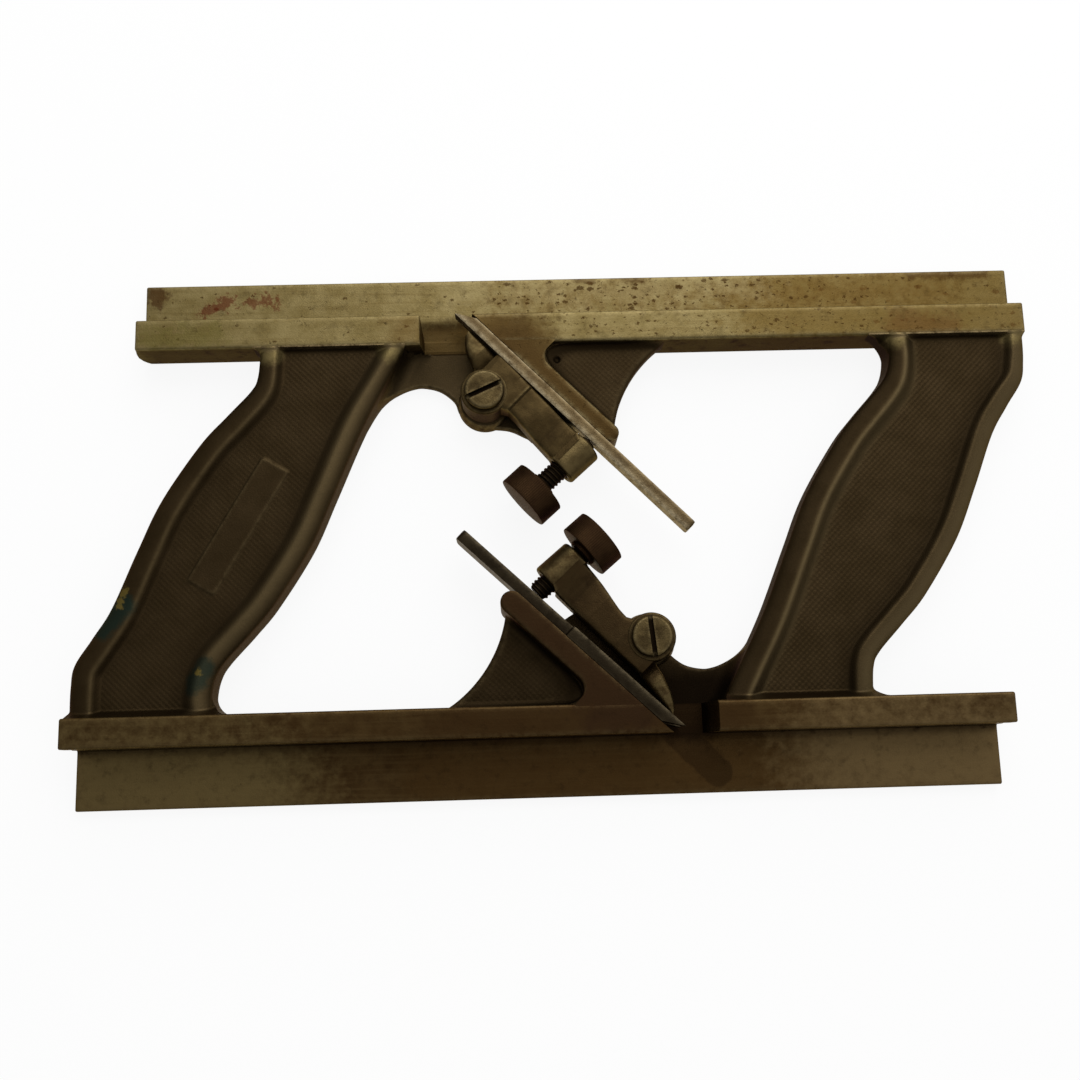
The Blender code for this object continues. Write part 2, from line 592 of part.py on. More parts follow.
tongue_end = describe_end(
    "tongue", (TONGUE_MOUTH_X, TONGUE_SOLE), -TONGUE_BED_ANGLE, 1, bed_angle=TONGUE_BED_ANGLE, sole=TONGUE_SOLE,
    rail_edge=TONGUE_RAIL_EDGE, rail_depth=TONGUE_RAIL_DEPTH, face=TONGUE_FACE, throat=TONGUE_THROAT,
    ledge=TONGUE_LEDGE, ledge_length=TONGUE_LEDGE_LENGTH, arch_x=TONGUE_ARCH_X,
    screw_back=TONGUE_SCREW_BACK, pivot_rise=TONGUE_PIVOT_RISE, slot_angle=TONGUE_SLOT_ANGLE,
    cutter_length=TONGUE_CUTTER_LENGTH, cutter_drop=TONGUE_CUTTER_DROP, knob_stand_off=TONGUE_KNOB_STAND_OFF)
groove_end = describe_end(
    "groove", (GROOVE_MOUTH_X, GROOVE_SOLE), math.pi - GROOVE_BED_ANGLE, -1, bed_angle=GROOVE_BED_ANGLE,
    sole=GROOVE_SOLE, rail_edge=GROOVE_RAIL_EDGE, rail_depth=GROOVE_RAIL_DEPTH, face=GROOVE_FACE,
    throat=GROOVE_THROAT, ledge=GROOVE_LEDGE, ledge_length=GROOVE_LEDGE_LENGTH, arch_x=GROOVE_ARCH_X,
    screw_back=GROOVE_SCREW_BACK, pivot_rise=GROOVE_PIVOT_RISE, slot_angle=GROOVE_SLOT_ANGLE,
    cutter_length=GROOVE_CUTTER_LENGTH, cutter_drop=GROOVE_CUTTER_DROP, knob_stand_off=GROOVE_KNOB_STAND_OFF)

for plane_end in (tongue_end, groove_end):
    plane_end.bed = new_empty(f"{plane_end.name}_bed", plane_end.frame)

make_stock((tongue_end, groove_end))
make_tongue_cutter(tongue_end)
make_groove_cutter(groove_end)
for plane_end in (tongue_end, groove_end):
    make_thumbscrew(plane_end, make_lever(plane_end))
    make_pivot_screw(plane_end)
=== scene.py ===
import math

import bmesh
import bpy
import numpy as np
from mathutils import Matrix, Vector


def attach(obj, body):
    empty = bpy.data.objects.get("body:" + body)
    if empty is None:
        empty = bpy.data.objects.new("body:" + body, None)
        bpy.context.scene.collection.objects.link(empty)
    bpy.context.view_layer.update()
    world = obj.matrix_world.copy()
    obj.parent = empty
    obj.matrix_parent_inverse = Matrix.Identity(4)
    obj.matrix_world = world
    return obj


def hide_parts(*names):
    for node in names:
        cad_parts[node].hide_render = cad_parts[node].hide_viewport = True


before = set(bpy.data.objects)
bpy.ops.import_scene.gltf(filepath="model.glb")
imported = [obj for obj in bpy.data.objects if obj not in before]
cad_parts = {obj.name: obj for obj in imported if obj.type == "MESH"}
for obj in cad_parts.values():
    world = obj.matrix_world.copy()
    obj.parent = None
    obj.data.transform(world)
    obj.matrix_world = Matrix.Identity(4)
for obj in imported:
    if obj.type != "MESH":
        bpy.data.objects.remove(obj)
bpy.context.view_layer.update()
print("frame loaded:", len(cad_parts), "nodes")

mm = 0.001  # every size below is in millimetres, turned to metres when a mesh is made

# The two working ends. side is +1 for the end at -Y, bed the angle of the cutter's bed to the sole, face the
# height of the rail's near face. gusset is the round where ledge meets rail, webEnd the foot of the web's
# free edge on the rail, pit a small hole if it lies in the web. tilt turns the lever until its nose rests on
# the cutter, armGap and noseGap are its distances from the cutter, step the slope on its top, nose its end
# seen from above. barrelLonger and barrelOut lengthen its barrel towards the cutter and away, standOff is
# the knob's distance from it. shade is painted shade on the web and the throat floor, strongest at the tongue
# end, and the painted lift is painted light on the floor, the barrel and the lever's step.
tongueEnd = {
    "side": 1, "mouth": (28.7, -61.65), "bed": 43.6, "sole": -61.65, "railEdge": -53.1, "face": 19.375,
    "ledge": 6.5, "ledgeLength": 61.3, "gusset": 4.2, "webEnd": -35.0, "pit": (0.0, 0.0),
    "archX": 41.5, "floorLength": 46.0, "pivotBack": 22.1, "pivotRise": 16.4, "slotAngle": 95.5,
    "tilt": 2.806, "armGap": 2.9, "noseGap": 0.4, "step": (-16.0, -6.0),
    "barrelLonger": 0.0, "barrelOut": 1.2, "standOff": 3.2, "shade": 0.55, "paintedLift": 0.0,
    "nose": [(4.6, -3.6), (7, -4.2), (10, -5.0), (14.8, -6.9), (17.5, -8.4), (19.0, -9.7), (19.7, -11.0)],
}
grooveEnd = {
    "side": -1, "mouth": (-25.35, 64.1), "bed": 45.6, "sole": 64.1, "railEdge": 54.9, "face": 13.819,
    "ledge": 5.0, "ledgeLength": 57.5, "gusset": 4.2, "webEnd": 32.4, "pit": (-0.1, 50.4),
    "archX": -42.5, "floorLength": 48.5, "pivotBack": 20.2, "pivotRise": 15.2, "slotAngle": 24.0,
    "tilt": -0.636, "armGap": 0.35, "noseGap": 0.35, "step": (-9.3, -8.7),
    "barrelLonger": 0.45, "barrelOut": 0.0, "standOff": 7.4, "shade": 0.1, "paintedLift": 0.14,
    "nose": [(4.6, -2.6), (7.8, -3.6), (9.8, -4.5), (12, -5.3), (13.9, -6.35), (15.5, -7.7), (16.8, -9.3),
             (17.1, -10.4)],
}
middleHeight = 11.4375  # height of the tongue's middle, where the levers and screws lie
gap = 0.3  # clearance between moving pieces
cutterTop = 3.475  # height of a cutter's upper face over its bed


# rises smoothly from 0 to 1 as x goes from 0 to 1
def smoothStep(x):
    t = np.clip(x, 0, 1)
    return t * t * (3 - 2 * t)


# 1 at d = 0, falling off to both sides over the given width
def bell(d, width):
    return np.exp(-(d / width) ** 2)


# height of a quarter-round of radius r that leans on a wall, at distance d from the wall
def fillet(d, r):
    g = np.clip(r - d, 0, r)
    return r - np.sqrt(np.maximum(r * r - g * g, 0))


# the lesser of a and b, with the corner between them rounded over a width k
def smoothMin(a, b, k):
    h = np.clip(0.5 + 0.5 * (b - a) / k, 0, 1)
    return b + (a - b) * h - k * h * (1 - h)


# points from their coordinates, each spread to the shape of all
def pointsOf(*coordinates):
    return np.stack(np.broadcast_arrays(*coordinates), axis=-1)


# angles of a full turn in even steps
def fullTurn(count):
    return np.linspace(0, 2 * np.pi, count, endpoint=False)


# Catmull-Rom curve through a few points, sampled evenly in its parameter
def throughPoints(points, count):
    p = np.asarray(points, float)
    p = np.vstack([2 * p[0] - p[1], p, 2 * p[-1] - p[-2]])
    s = np.linspace(0, len(p) - 3, count)
    k = np.minimum(s.astype(int), len(p) - 4)
    t = (s - k)[:, None]
    a, b, c, d = p[k], p[k + 1], p[k + 2], p[k + 3]
    return 0.5 * (2 * b + (c - a) * t + (2 * a - 5 * b + 4 * c - d) * t**2 + (3 * b - a - 3 * c + d) * t**3)


# points spread evenly by length along a broken line
def alongLine(points, count):
    p = np.asarray(points, float)
    run = np.concatenate([[0], np.cumsum(np.linalg.norm(np.diff(p, axis=0), axis=1))])
    s = np.linspace(0, run[-1], count)
    return pointsOf(*[np.interp(s, run, c) for c in p.T])


# crossed grooves at 45 degrees, between -1 and 1, with the given pitch
def crossCheck(x, y, pitch):
    a = (x + y) * math.sqrt(0.5) / pitch
    b = (x - y) * math.sqrt(0.5) / pitch
    return 0.5 * (np.cos(2 * np.pi * a) + np.cos(2 * np.pi * b))


# slow unevenness of a casting: a few crossed waves of different length, between about -1 and 1
def castWave(x, y):
    return (np.sin(x * 0.21 + 1.3) * np.sin(y * 0.17 + 0.4) + np.sin(x * 0.083 - y * 0.11)
            + 0.5 * np.sin(x * 0.47 + y * 0.39)) / 2.5


# a closed outline with each corner rounded: straight runs between quarter-round corners.
# run gives, for each point, the number of its corner, or that number and a half on the edge after it.
def roundedLoop(corners, cell):
    points, run = [], []
    xy = np.array([c[:2] for c in corners], float)
    radius = np.array([c[2] for c in corners])
    toBefore = np.roll(xy, 1, axis=0) - xy
    toAfter = np.roll(xy, -1, axis=0) - xy
    toBefore /= np.linalg.norm(toBefore, axis=1)[:, None]
    toAfter /= np.linalg.norm(toAfter, axis=1)[:, None]
    turn = np.linspace(0, np.pi / 2, 5)[:, None]
    for i in range(len(xy)):
        j = (i + 1) % len(xy)
        centre = xy[i] + radius[i] * (toBefore[i] + toAfter[i])
        arc = centre - radius[i] * (toAfter[i] * np.cos(turn) + toBefore[i] * np.sin(turn))
        start = xy[i] + radius[i] * toAfter[i]
        end = xy[j] + radius[j] * toBefore[j]
        count = max(2, int(np.linalg.norm(end - start) / cell))
        edge = start + (end - start) * np.linspace(0, 1, count + 1)[1:-1, None]
        points += [arc, edge]
        run += [np.full(len(arc), float(i)), np.full(len(edge), i + 0.5)]
    return np.concatenate(points), np.concatenate(run)


# directions out of a closed outline: its tangents, turned by a quarter to the side away from its area
def outwardOf(loop):
    after = np.roll(loop, -1, axis=0)
    tangent = after - np.roll(loop, 1, axis=0)
    outward = pointsOf(tangent[:, 1], -tangent[:, 0]) / np.linalg.norm(tangent, axis=1)[:, None]
    clockwise = (after[:, 0] * loop[:, 1] - loop[:, 0] * after[:, 1]).sum() > 0
    return -outward if clockwise else outward


# bed frame to part frame: x up the bed towards the sole, y out of the bed, z as in the part
def fromBed(end, points):
    angle = math.radians(end["bed"])
    along = np.array([math.cos(angle), -math.sin(angle)]) * end["side"]
    across = np.array([math.sin(angle), math.cos(angle)]) * end["side"]
    p = np.asarray(points, float)
    flat = np.array(end["mouth"]) + p[..., :1] * along + p[..., 1:2] * across
    return np.concatenate([flat, p[..., 2:3]], axis=-1)


# turns points about z by an angle in degrees
def turned(points, degrees):
    a = math.radians(degrees)
    p = np.asarray(points, float)
    x = p[..., 0] * math.cos(a) - p[..., 1] * math.sin(a)
    y = p[..., 0] * math.sin(a) + p[..., 1] * math.cos(a)
    return pointsOf(x, y, p[..., 2])


# a profile of (radius, height) swung round the z axis; pattern changes the radius by angle
def turnedGrid(profile, count, pattern=None):
    p = np.asarray(profile, float)
    angle = fullTurn(count)[None]
    radius = p[:, :1] + (pattern(angle) if pattern else 0)
    return pointsOf(radius * np.cos(angle), radius * np.sin(angle), p[:, 1:2])


# corners of the quads of a grid of nu rows by nv columns, closed round either way if asked
def gridQuads(nu, nv, roundU=False, roundV=True, first=0):
    index = first + np.arange(nu * nv).reshape(nu, nv)
    if roundU:
        index = np.vstack([index, index[:1]])
    if roundV:
        index = np.hstack([index, index[:, :1]])
    return pointsOf(index[:-1, :-1], index[:-1, 1:], index[1:, 1:], index[1:, :-1]).reshape(-1, 4)


# a profile carried along a path: closed rings, with flat caps on the first and last
def ringFaces(nu, nv):
    first = np.arange(nv)[None, ::-1]
    last = np.arange((nu - 1) * nv, nu * nv)[None]
    return [gridQuads(nu, nv), first, last]


# a slab between two grids of the same size, joined round their rim
def slabFaces(nu, nv):
    index = np.arange(nu * nv).reshape(nu, nv)
    rim = np.concatenate([index[0, :-1], index[:-1, -1], index[-1, :0:-1], index[:0:-1, 0]])
    after = np.roll(rim, -1)
    walls = pointsOf(rim, after, after + nu * nv, rim + nu * nv)
    return [gridQuads(nu, nv, roundV=False), gridQuads(nu, nv, roundV=False, first=nu * nv), walls]


markNames = ("rubAndGlint", "shadeAndDirt", "paintedLight")  # values per point that the finishes read: bare metal and painted glints, dirt and painted shade, painted light


# puts points and faces into a mesh, merges doubles, turns faces outwards, links the piece in under its body
# and hides the CAD node it replaces
def addPiece(name, points, faces, finish, marks, node="stock", slot="stock", body=None, sharp=38.0):
    points = np.asarray(points).reshape(-1, 3)
    mesh = bpy.data.meshes.new(name)
    mesh.from_pydata((points * mm).tolist(), [], [face for group in faces for face in group.tolist()])
    for mark in markNames:
        values = np.zeros(len(points)) + np.ravel(marks.get(mark, 0.0))
        mesh.attributes.new(mark, "FLOAT", "POINT").data.foreach_set("value", values.astype(np.float32))
    shell = bmesh.new()
    shell.from_mesh(mesh)
    bmesh.ops.remove_doubles(shell, verts=shell.verts, dist=2e-7)
    bmesh.ops.dissolve_degenerate(shell, edges=shell.edges, dist=1e-7)
    bmesh.ops.recalc_face_normals(shell, faces=shell.faces)
    shell.to_mesh(mesh)
    shell.free()
    mesh.shade_smooth()
    mesh.set_sharp_from_angle(angle=math.radians(sharp))
    mesh.materials.append(finish)
    piece = bpy.data.objects.new(name, mesh)
    bpy.context.scene.collection.objects.link(piece)
    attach(piece, body or node)
    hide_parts(node)


# a slab with a near and a far face over the same x and y, set in place by put; only its near face keeps the
# rub and painted glints
def slabPiece(name, x, y, top, low, finish, marks, put=np.asarray, **more):
    points = np.concatenate([put(np.dstack([x, y, z])).reshape(-1, 3) for z in (top, low)])
    marks = {k: np.concatenate([m.ravel(), m.ravel() * (k != "rubAndGlint")]) for k, m in marks.items()}
    addPiece(name, points, slabFaces(*x.shape), finish, marks, **more)


# a closed section swung round the z axis, set in place by put; marks run along the section
def ringPiece(name, profile, count, put, finish, marks, **more):
    grid = turnedGrid(profile, count)
    marks = {k: np.broadcast_to(m, grid.shape[:2]) for k, m in marks.items()}
    addPiece(name, put(grid), [gridQuads(*grid.shape[:2], roundU=True)], finish, marks, **more)


# node-building shorthand: a value is a socket to link or a constant, and a socket knows its tree
def feed(socket, value):
    if isinstance(value, bpy.types.NodeSocket):
        socket.id_data.links.new(value, socket)
    else:
        socket.default_value = value


def wire(*pairs):
    for source, target in pairs:
        feed(target, source)


def addNode(tree, kind, **values):
    node = tree.nodes.new("ShaderNode" + kind)
    for key, value in values.items():
        if hasattr(node, key):
            setattr(node, key, value)
        else:
            node.inputs[key.replace("_", " ")].default_value = value
    return node


def placeGroup(tree, group, **values):
    node = tree.nodes.new("ShaderNodeGroup")
    node.node_tree = group
    for key, value in values.items():
        feed(node.inputs[key.replace("_", " ")], value)
    return node.outputs


def newGroup(name, inputs, outputs):
    group = bpy.data.node_groups.new(name, "ShaderNodeTree")
    for label, kind, value in inputs:
        socket = group.interface.new_socket(name=label, in_out="INPUT", socket_type="NodeSocket" + kind)
        socket.default_value = value
    for label, kind in outputs:
        group.interface.new_socket(name=label, in_out="OUTPUT", socket_type="NodeSocket" + kind)
    return group, group.nodes.new("NodeGroupInput").outputs, group.nodes.new("NodeGroupOutput").inputs


# a node in the tree of the first socket among the values, which its inputs take in turn
def fedNode(kind, *values, **settings):
    tree = next(value.id_data for value in values if isinstance(value, bpy.types.NodeSocket))
    node = addNode(tree, kind, **settings)
    wire(*zip(values, node.inputs))
    return node.outputs


def mathNode(operation, *values, clamp=False):
    return fedNode("Math", *values, operation=operation, use_clamp=clamp)[0]


def plus(a, b, clamp=False):
    return mathNode("ADD", a, b, clamp=clamp)


def minus(a, b):
    return mathNode("SUBTRACT", a, b)


def times(a, b, clamp=False):
    return mathNode("MULTIPLY", a, b, clamp=clamp)


def vectorNode(operation, *values):
    return fedNode("VectorMath", *values, operation=operation)


def objectPlace(tree):
    return addNode(tree, "TexCoord").outputs["Object"]


# noise over the piece, of a size that is a number or a socket
def noiseNode(tree, size, **values):
    node = addNode(tree, "TexNoise", **values)
    wire((size, node.inputs["Scale"]), (objectPlace(tree), node.inputs["Vector"]))
    return node.outputs["Fac"]


# a value stretched from one span to 0 to 1
def spanNode(value, low, high):
    return fedNode("MapRange", value, low, high, interpolation_type="SMOOTHSTEP")[0]


# mix of two colours by a factor
def mixColour(factor, a, b):
    node = addNode(factor.id_data, "Mix", data_type="RGBA")
    wire((factor, node.inputs[0]), (a, node.inputs[6]), (b, node.inputs[7]))
    return node.outputs[2]


# a colour written as sRGB numbers of 0 to 255, as the shader's linear values
def ink(red, green, blue):
    c = np.array([red, green, blue]) / 255
    linear = np.where(c <= 0.04045, c / 12.92, ((c + 0.055) / 1.055) ** 2.4)
    return (*[float(v) for v in linear], 1.0)


black, white = (0, 0, 0, 1), (1, 1, 1, 1)


# Cast grain: soft blotches, fine grain, small dark pits, and a height for the bump
def makeCastGrain():
    group, enter, leave = newGroup(
        "cast grain",
        [("Blotch Size", "Float", 160.0), ("Grain Size", "Float", 2200.0), ("Pit Size", "Float", 700.0),
         ("Pit Share", "Float", 0.4)],
        [("Blotch", "Float"), ("Grain", "Float"), ("Pits", "Float"), ("Height", "Float")])
    blotch = noiseNode(group, enter["Blotch Size"], Detail=5.0, Roughness=0.62)
    grain = noiseNode(group, enter["Grain Size"], Detail=3.0, Roughness=0.6)
    pits = noiseNode(group, enter["Pit Size"], Detail=4.0, Roughness=0.7)
    threshold = minus(0.82, times(enter["Pit Share"], 0.4))
    pitMask = times(minus(pits, threshold), 9.0, clamp=True)
    height = minus(times(grain, 0.6), times(pitMask, 0.5))
    wire((spanNode(blotch, 0.3, 0.7), leave["Blotch"]), (grain, leave["Grain"]),
         (pitMask, leave["Pits"]), (height, leave["Height"]))
    return group


# Edge rub and painted glints: bare lighter metal, and painted highlights, where their mark is strong, broken
# up by noise
def makeEdgeRub():
    group, enter, leave = newGroup(
        "edge rub and glint",
        [("Colour", "Color", black), ("Bare", "Color", white), ("Rub", "Float", 0.0),
         ("Amount", "Float", 0.7), ("Break Size", "Float", 420.0)],
        [("Colour", "Color"), ("Mask", "Float")])
    noise = noiseNode(group, enter["Break Size"], Detail=6.0, Roughness=0.68)
    broken = times(enter["Rub"], spanNode(noise, 0.3, 0.62))
    mask = times(broken, enter["Amount"], clamp=True)
    colour = mixColour(mask, enter["Colour"], enter["Bare"])
    wire((colour, leave["Colour"]), (mask, leave["Mask"]))
    return group


# Grime and painted shade: dirt and painted shade in the corners and hollows marked for them, and thin dirt
# patches elsewhere
def makeGrimeAndShade():
    group, enter, leave = newGroup(
        "grimeAndShade",
        [("Colour", "Color", black), ("Dirt", "Color", black), ("Sink", "Float", 0.0),
         ("Patches", "Float", 0.3)],
        [("Colour", "Color"), ("Mask", "Float")])
    noise = noiseNode(group, 260.0, Detail=6.0, Roughness=0.7)
    patches = times(spanNode(noise, 0.5, 0.72), enter["Patches"])
    mask = plus(times(enter["Sink"], 0.75), patches, clamp=True)
    colour = mixColour(mask, enter["Colour"], enter["Dirt"])
    wire((colour, leave["Colour"]), (mask, leave["Mask"]))
    return group


# Draw streaks: noise stretched along x, as left by filing and use along the rails
def makeStreaks():
    group, enter, leave = newGroup("draw streaks", [("Size", "Float", 900.0)], [("Streak", "Float")])
    stretch = addNode(group, "Mapping", Scale=(0.035, 1.0, 1.0))
    noise = addNode(group, "TexNoise", Detail=4.0, Roughness=0.6)
    wire((objectPlace(group), stretch.inputs["Vector"]),
         (stretch.outputs["Vector"], noise.inputs["Vector"]), (enter["Size"], noise.inputs["Scale"]),
         (noise.outputs["Fac"], leave["Streak"]))
    return group


# Specks: rust spots of random size, one at most in each cell, in a share of the cells; noise frays them
def makeSpecks():
    group, enter, leave = newGroup("specks", [("Size", "Float", 400.0), ("Share", "Float", 0.3)],
                                   [("Mask", "Float")])
    fray = 0.0022  # how far noise moves the outline of a spot, in metres
    place = objectPlace(group)
    noise = addNode(group, "TexNoise", Scale=1300.0, Detail=5.0, Roughness=0.7)
    moved = vectorNode("MULTIPLY_ADD", noise.outputs["Color"], (fray,) * 3, place)[0]
    stretch = addNode(group, "Mapping", Scale=(0.6, 1.0, 1.0))
    cells = addNode(group, "TexVoronoi", feature="F1")
    random = addNode(group, "SeparateColor")
    wire((place, noise.inputs["Vector"]), (moved, stretch.inputs["Vector"]),
         (stretch.outputs["Vector"], cells.inputs["Vector"]), (enter["Size"], cells.inputs["Scale"]),
         (cells.outputs["Color"], random.inputs[0]))
    big = mathNode("POWER", random.outputs[1], 2.5)
    radius = plus(times(big, 0.32), 0.15)
    spot = spanNode(minus(radius, cells.outputs["Distance"]), 0.0, 0.1)
    there = mathNode("LESS_THAN", random.outputs[0], enter["Share"])
    wire((times(spot, there), leave["Mask"]))
    return group


castGrain, edgeRub, grimeAndShade, drawStreaks = makeCastGrain(), makeEdgeRub(), makeGrimeAndShade(), makeStreaks()
specks = makeSpecks()


# Soft mask of a stain along a line from start to stop, in millimetres: the distance to the nearest point of
# the line, over the radius, with noise of a given size added before it is cut off at a level. ragged weighs
# the noise, edge softens the cut, bias thins the stain, and spots, as size and share, breaks it into specks.
def stainMask(tree, start, stop, radius, strength, ragged=1.0, edge=0.5, size=190.0, bias=0.0, spots=None):
    level = 0.3
    origin = Vector(start) * mm
    run = Vector(stop) * mm - origin
    offset = vectorNode("SUBTRACT", objectPlace(tree), origin)[0]
    along = vectorNode("DOT_PRODUCT", offset, run / max(run.length_squared, 1e-12))["Value"]
    nearest = addNode(tree, "VectorMath", operation="SCALE")
    wire((run, nearest.inputs[0]), (plus(along, 0.0, clamp=True), nearest.inputs["Scale"]))
    away = vectorNode("DISTANCE", offset, nearest.outputs[0])["Value"]
    near = minus(1.0 - bias, mathNode("DIVIDE", away, radius * mm))
    noise = noiseNode(tree, size, Detail=6.0, Roughness=0.7)
    loose = times(minus(noise, 0.5), ragged)
    mask = spanNode(plus(near, loose), level - edge / 2, level + edge / 2)
    if spots:
        mask = placeGroup(tree, specks, Size=spots[0], Share=times(mask, spots[1]))["Mask"]
    return times(mask, strength)


# A worn metal: base colours mottled by the cast grain, streaks, painted light, stains, painted shade and
# grime, pits, and rub with painted glints. Colours are sRGB numbers, and a stain is its colour and what
# stainMask takes; the dirt colour is also that of painted shade. Roughness follows grain, dirt and painted
# shade, and rub.
def wornMetal(name, dark, light, dirtAndShade, bare, rough, patches, rubAndGlint, bump, pits=0.3, pit=700.0, pitDark=0.6,
              blotch=160.0, streaks=0.0, streakColour=None, stains=()):
    grainRough, dirtRough, rubSmooth, streakBump = 0.22, 0.15, 0.12, 0.6
    material = bpy.data.materials.new(name)
    material.use_nodes = True
    tree = material.node_tree
    shader = tree.nodes["Principled BSDF"]
    rubAndGlintFac, shadeAndDirtFac, paintedLightFac = (addNode(tree, "Attribute", attribute_name=mark).outputs["Fac"]
                              for mark in markNames)
    streakColour = ink(*(streakColour or light))
    dark, light, dirtAndShade, bare = (ink(*c) for c in (dark, light, dirtAndShade, bare))
    grain = placeGroup(tree, castGrain, Blotch_Size=blotch, Pit_Size=pit, Pit_Share=pits)
    streak = placeGroup(tree, drawStreaks)["Streak"]
    colour = mixColour(grain["Blotch"], dark, light)
    colour = mixColour(times(spanNode(streak, 0.46, 0.66), streaks), colour, streakColour)
    colour = mixColour(paintedLightFac, colour, bare)
    for stainColour, *spread in stains:
        colour = mixColour(stainMask(tree, *spread), colour, ink(*stainColour))
    dirtyAndShaded = placeGroup(tree, grimeAndShade, Colour=colour, Dirt=dirtAndShade, Sink=shadeAndDirtFac, Patches=patches)
    pitted = mixColour(times(grain["Pits"], pitDark), dirtyAndShaded["Colour"], dirtAndShade)
    worn = placeGroup(tree, edgeRub, Colour=pitted, Bare=bare, Rub=rubAndGlintFac, Amount=rubAndGlint)
    roughness = plus(times(grain["Grain"], grainRough), rough - grainRough / 2)
    roughness = plus(roughness, times(dirtyAndShaded["Mask"], dirtRough))
    roughness = minus(roughness, times(worn["Mask"], rubSmooth))
    relief = addNode(tree, "Bump", Strength=bump, Distance=0.0004)
    height = plus(grain["Height"], times(streak, streaks * streakBump))
    wire((worn["Colour"], shader.inputs["Base Color"]), (roughness, shader.inputs["Roughness"]),
         (height, relief.inputs["Height"]), (relief.outputs["Normal"], shader.inputs["Normal"]))
    shader.inputs["Metallic"].default_value = 0.88
    shader.inputs["Specular IOR Level"].default_value = 0.25
    shader.inputs["Specular Tint"].default_value = (0.5, 0.42, 0.3, 1.0)
    return material


# colours are the photographed finishes: a pale bare upper rail, brown castings, dark steel screws
rust, red, teal, yellow = (54, 36, 12), (76, 24, 13), (26, 42, 36), (112, 96, 46)
fence, face = 3.5, 13.8  # heights of both fences and of the groove rail's face
paleRail = wornMetal(
    "pale bare rail", dark=(104, 90, 54), light=(122, 108, 71), dirtAndShade=(38, 26, 9), bare=(144, 130, 92),
    rough=0.42, streaks=0.35, streakColour=(90, 74, 40), patches=0.3,
    pits=0.5, pit=560.0, pitDark=0.8, rubAndGlint=0.4, bump=0.25,
    stains=[
        ((92, 74, 36), (75, 66, 9), (141, 64, 9), 32, 0.75, 1.6),
        ((84, 62, 26), (-15, 73, fence), (120, 72, fence), 16, 0.5, 3.4, 0.9, 260.0, 0.45),
        ((140, 127, 90), (-30, 75, fence), (60, 76, fence), 14, 0.3, 3.0, 0.9, 210.0, 0.4),
        (rust, (-8, 74, fence), (80, 73, fence), 18, 0.9, 1.6, 1.2, 190.0, 0.0, (900.0, 0.75)),
        (rust, (-2, 75, fence), (75, 72, fence), 15, 0.85, 1.6, 1.2, 190.0, 0.0, (470.0, 0.5)),
        (rust, (-20, 79, fence), (125, 79, fence), 4, 0.8, 1.0, 1.0, 190.0, 0.0, (560.0, 0.6)),
        (rust, (-125, 66, 8), (141, 66, 8), 40, 0.8, 1.6, 0.6, 190.0, 0.0, (760.0, 0.2)),
        ((72, 48, 18), (85, 70, 5), (141, 62, 12), 22, 0.6, 1.6, 1.2, 190.0, 0.0, (480.0, 0.6)),
        *[((62, 42, 17), (left, 79.5, fence), (right, 79, fence), radius, 0.8, 1.8, 0.6, 420.0)
          for left, right, radius in ((8, 11, 3.0), (22, 26, 3.6), (112, 134, 4.2))],
        ((78, 52, 24), (103, 58, face), (118, 57, face), 6, 0.6, 2.2, 0.9, 320.0),
        (rust, (-12, 57, face), (120, 57, face), 7, 0.8, 1.6, 1.2, 190.0, 0.0, (950.0, 0.65)),
        ((78, 54, 22), (-45, 59, face), (-43, 57, face), 9, 0.4, 1.8, 1.0, 240.0),
        # painted shade in the groove throat, between the block's end and the cutter
        ((56, 41, 18), (-40, 58, fence), (-27, 60, fence), 9, 0.9, 1.4),
        ((74, 54, 22), (-25, 62, face), (-10, 56, face), 10, 0.75, 2.2, 1.2, 260.0),
        ((64, 48, 24), (-14, 52, face), (17, 18, face), 16, 1.0, 0.6, 0.8),
        ((86, 78, 34), (-120, 58, face), (-104, 59, face), 8, 0.55, 3.2, 0.8, 320.0, 0.2),
        ((58, 34, 14), (-125, 78, fence), (-122, 75, fence), 5, 0.8, 2.2, 0.5, 320.0, 0.1),
        (red, (-108, 70, fence), (-99, 74, fence), 4.5, 0.7, 3.4, 0.4, 420.0, 0.4),
        (red, (-94, 73, fence), (-86, 73, fence), 5.0, 0.65, 3.4, 0.4, 420.0, 0.45),
    ],
)
brownRail = wornMetal(
    "browned rail", dark=(52, 36, 17), light=(66, 50, 27), dirtAndShade=(26, 16, 7), bare=(94, 78, 50),
    rough=0.42, streaks=0.4, streakColour=(76, 60, 35), patches=0.3,
    pits=0.35, pit=480.0, rubAndGlint=0.4, bump=0.22,
    stains=[
        ((62, 44, 21), (-40, -72, fence), (65, -72, fence), 11, 0.75, 1.0, 0.9),
        ((103, 88, 55), (-135, -72, 4), (-95, -74, 4), 26, 0.7, 1.6, 1.2, 320.0),
        ((106, 88, 58), (84, -68, 6), (125, -72, 5), 26, 0.7, 1.6, 1.2, 320.0),
        ((51, 35, 17), (-30, -57, 19), (40, -57, 19), 16, 0.8, 1.0, 0.9),
        ((46, 31, 18), (14, -50, 19), (-14, -20, 19), 18, 0.9),
        # painted shadow of the tongue cutter, about its shape, on the fence
        ((36, 24, 11), (32, -62, fence), (43, -73, fence), 6.0, 0.6, 0.3, 0.15),
        # painted shade deep in the tongue throat, beside the cutter
        ((26, 16, 7), (32, -57, 4), (38, -57, 4), 9, 0.9),
    ],
)
rimTops = [(x, y, 13.6) for x, y in ((-85.8, 54.0), (-50.3, 54.0), (102.2, 55.2), (137.6, 55.2))]
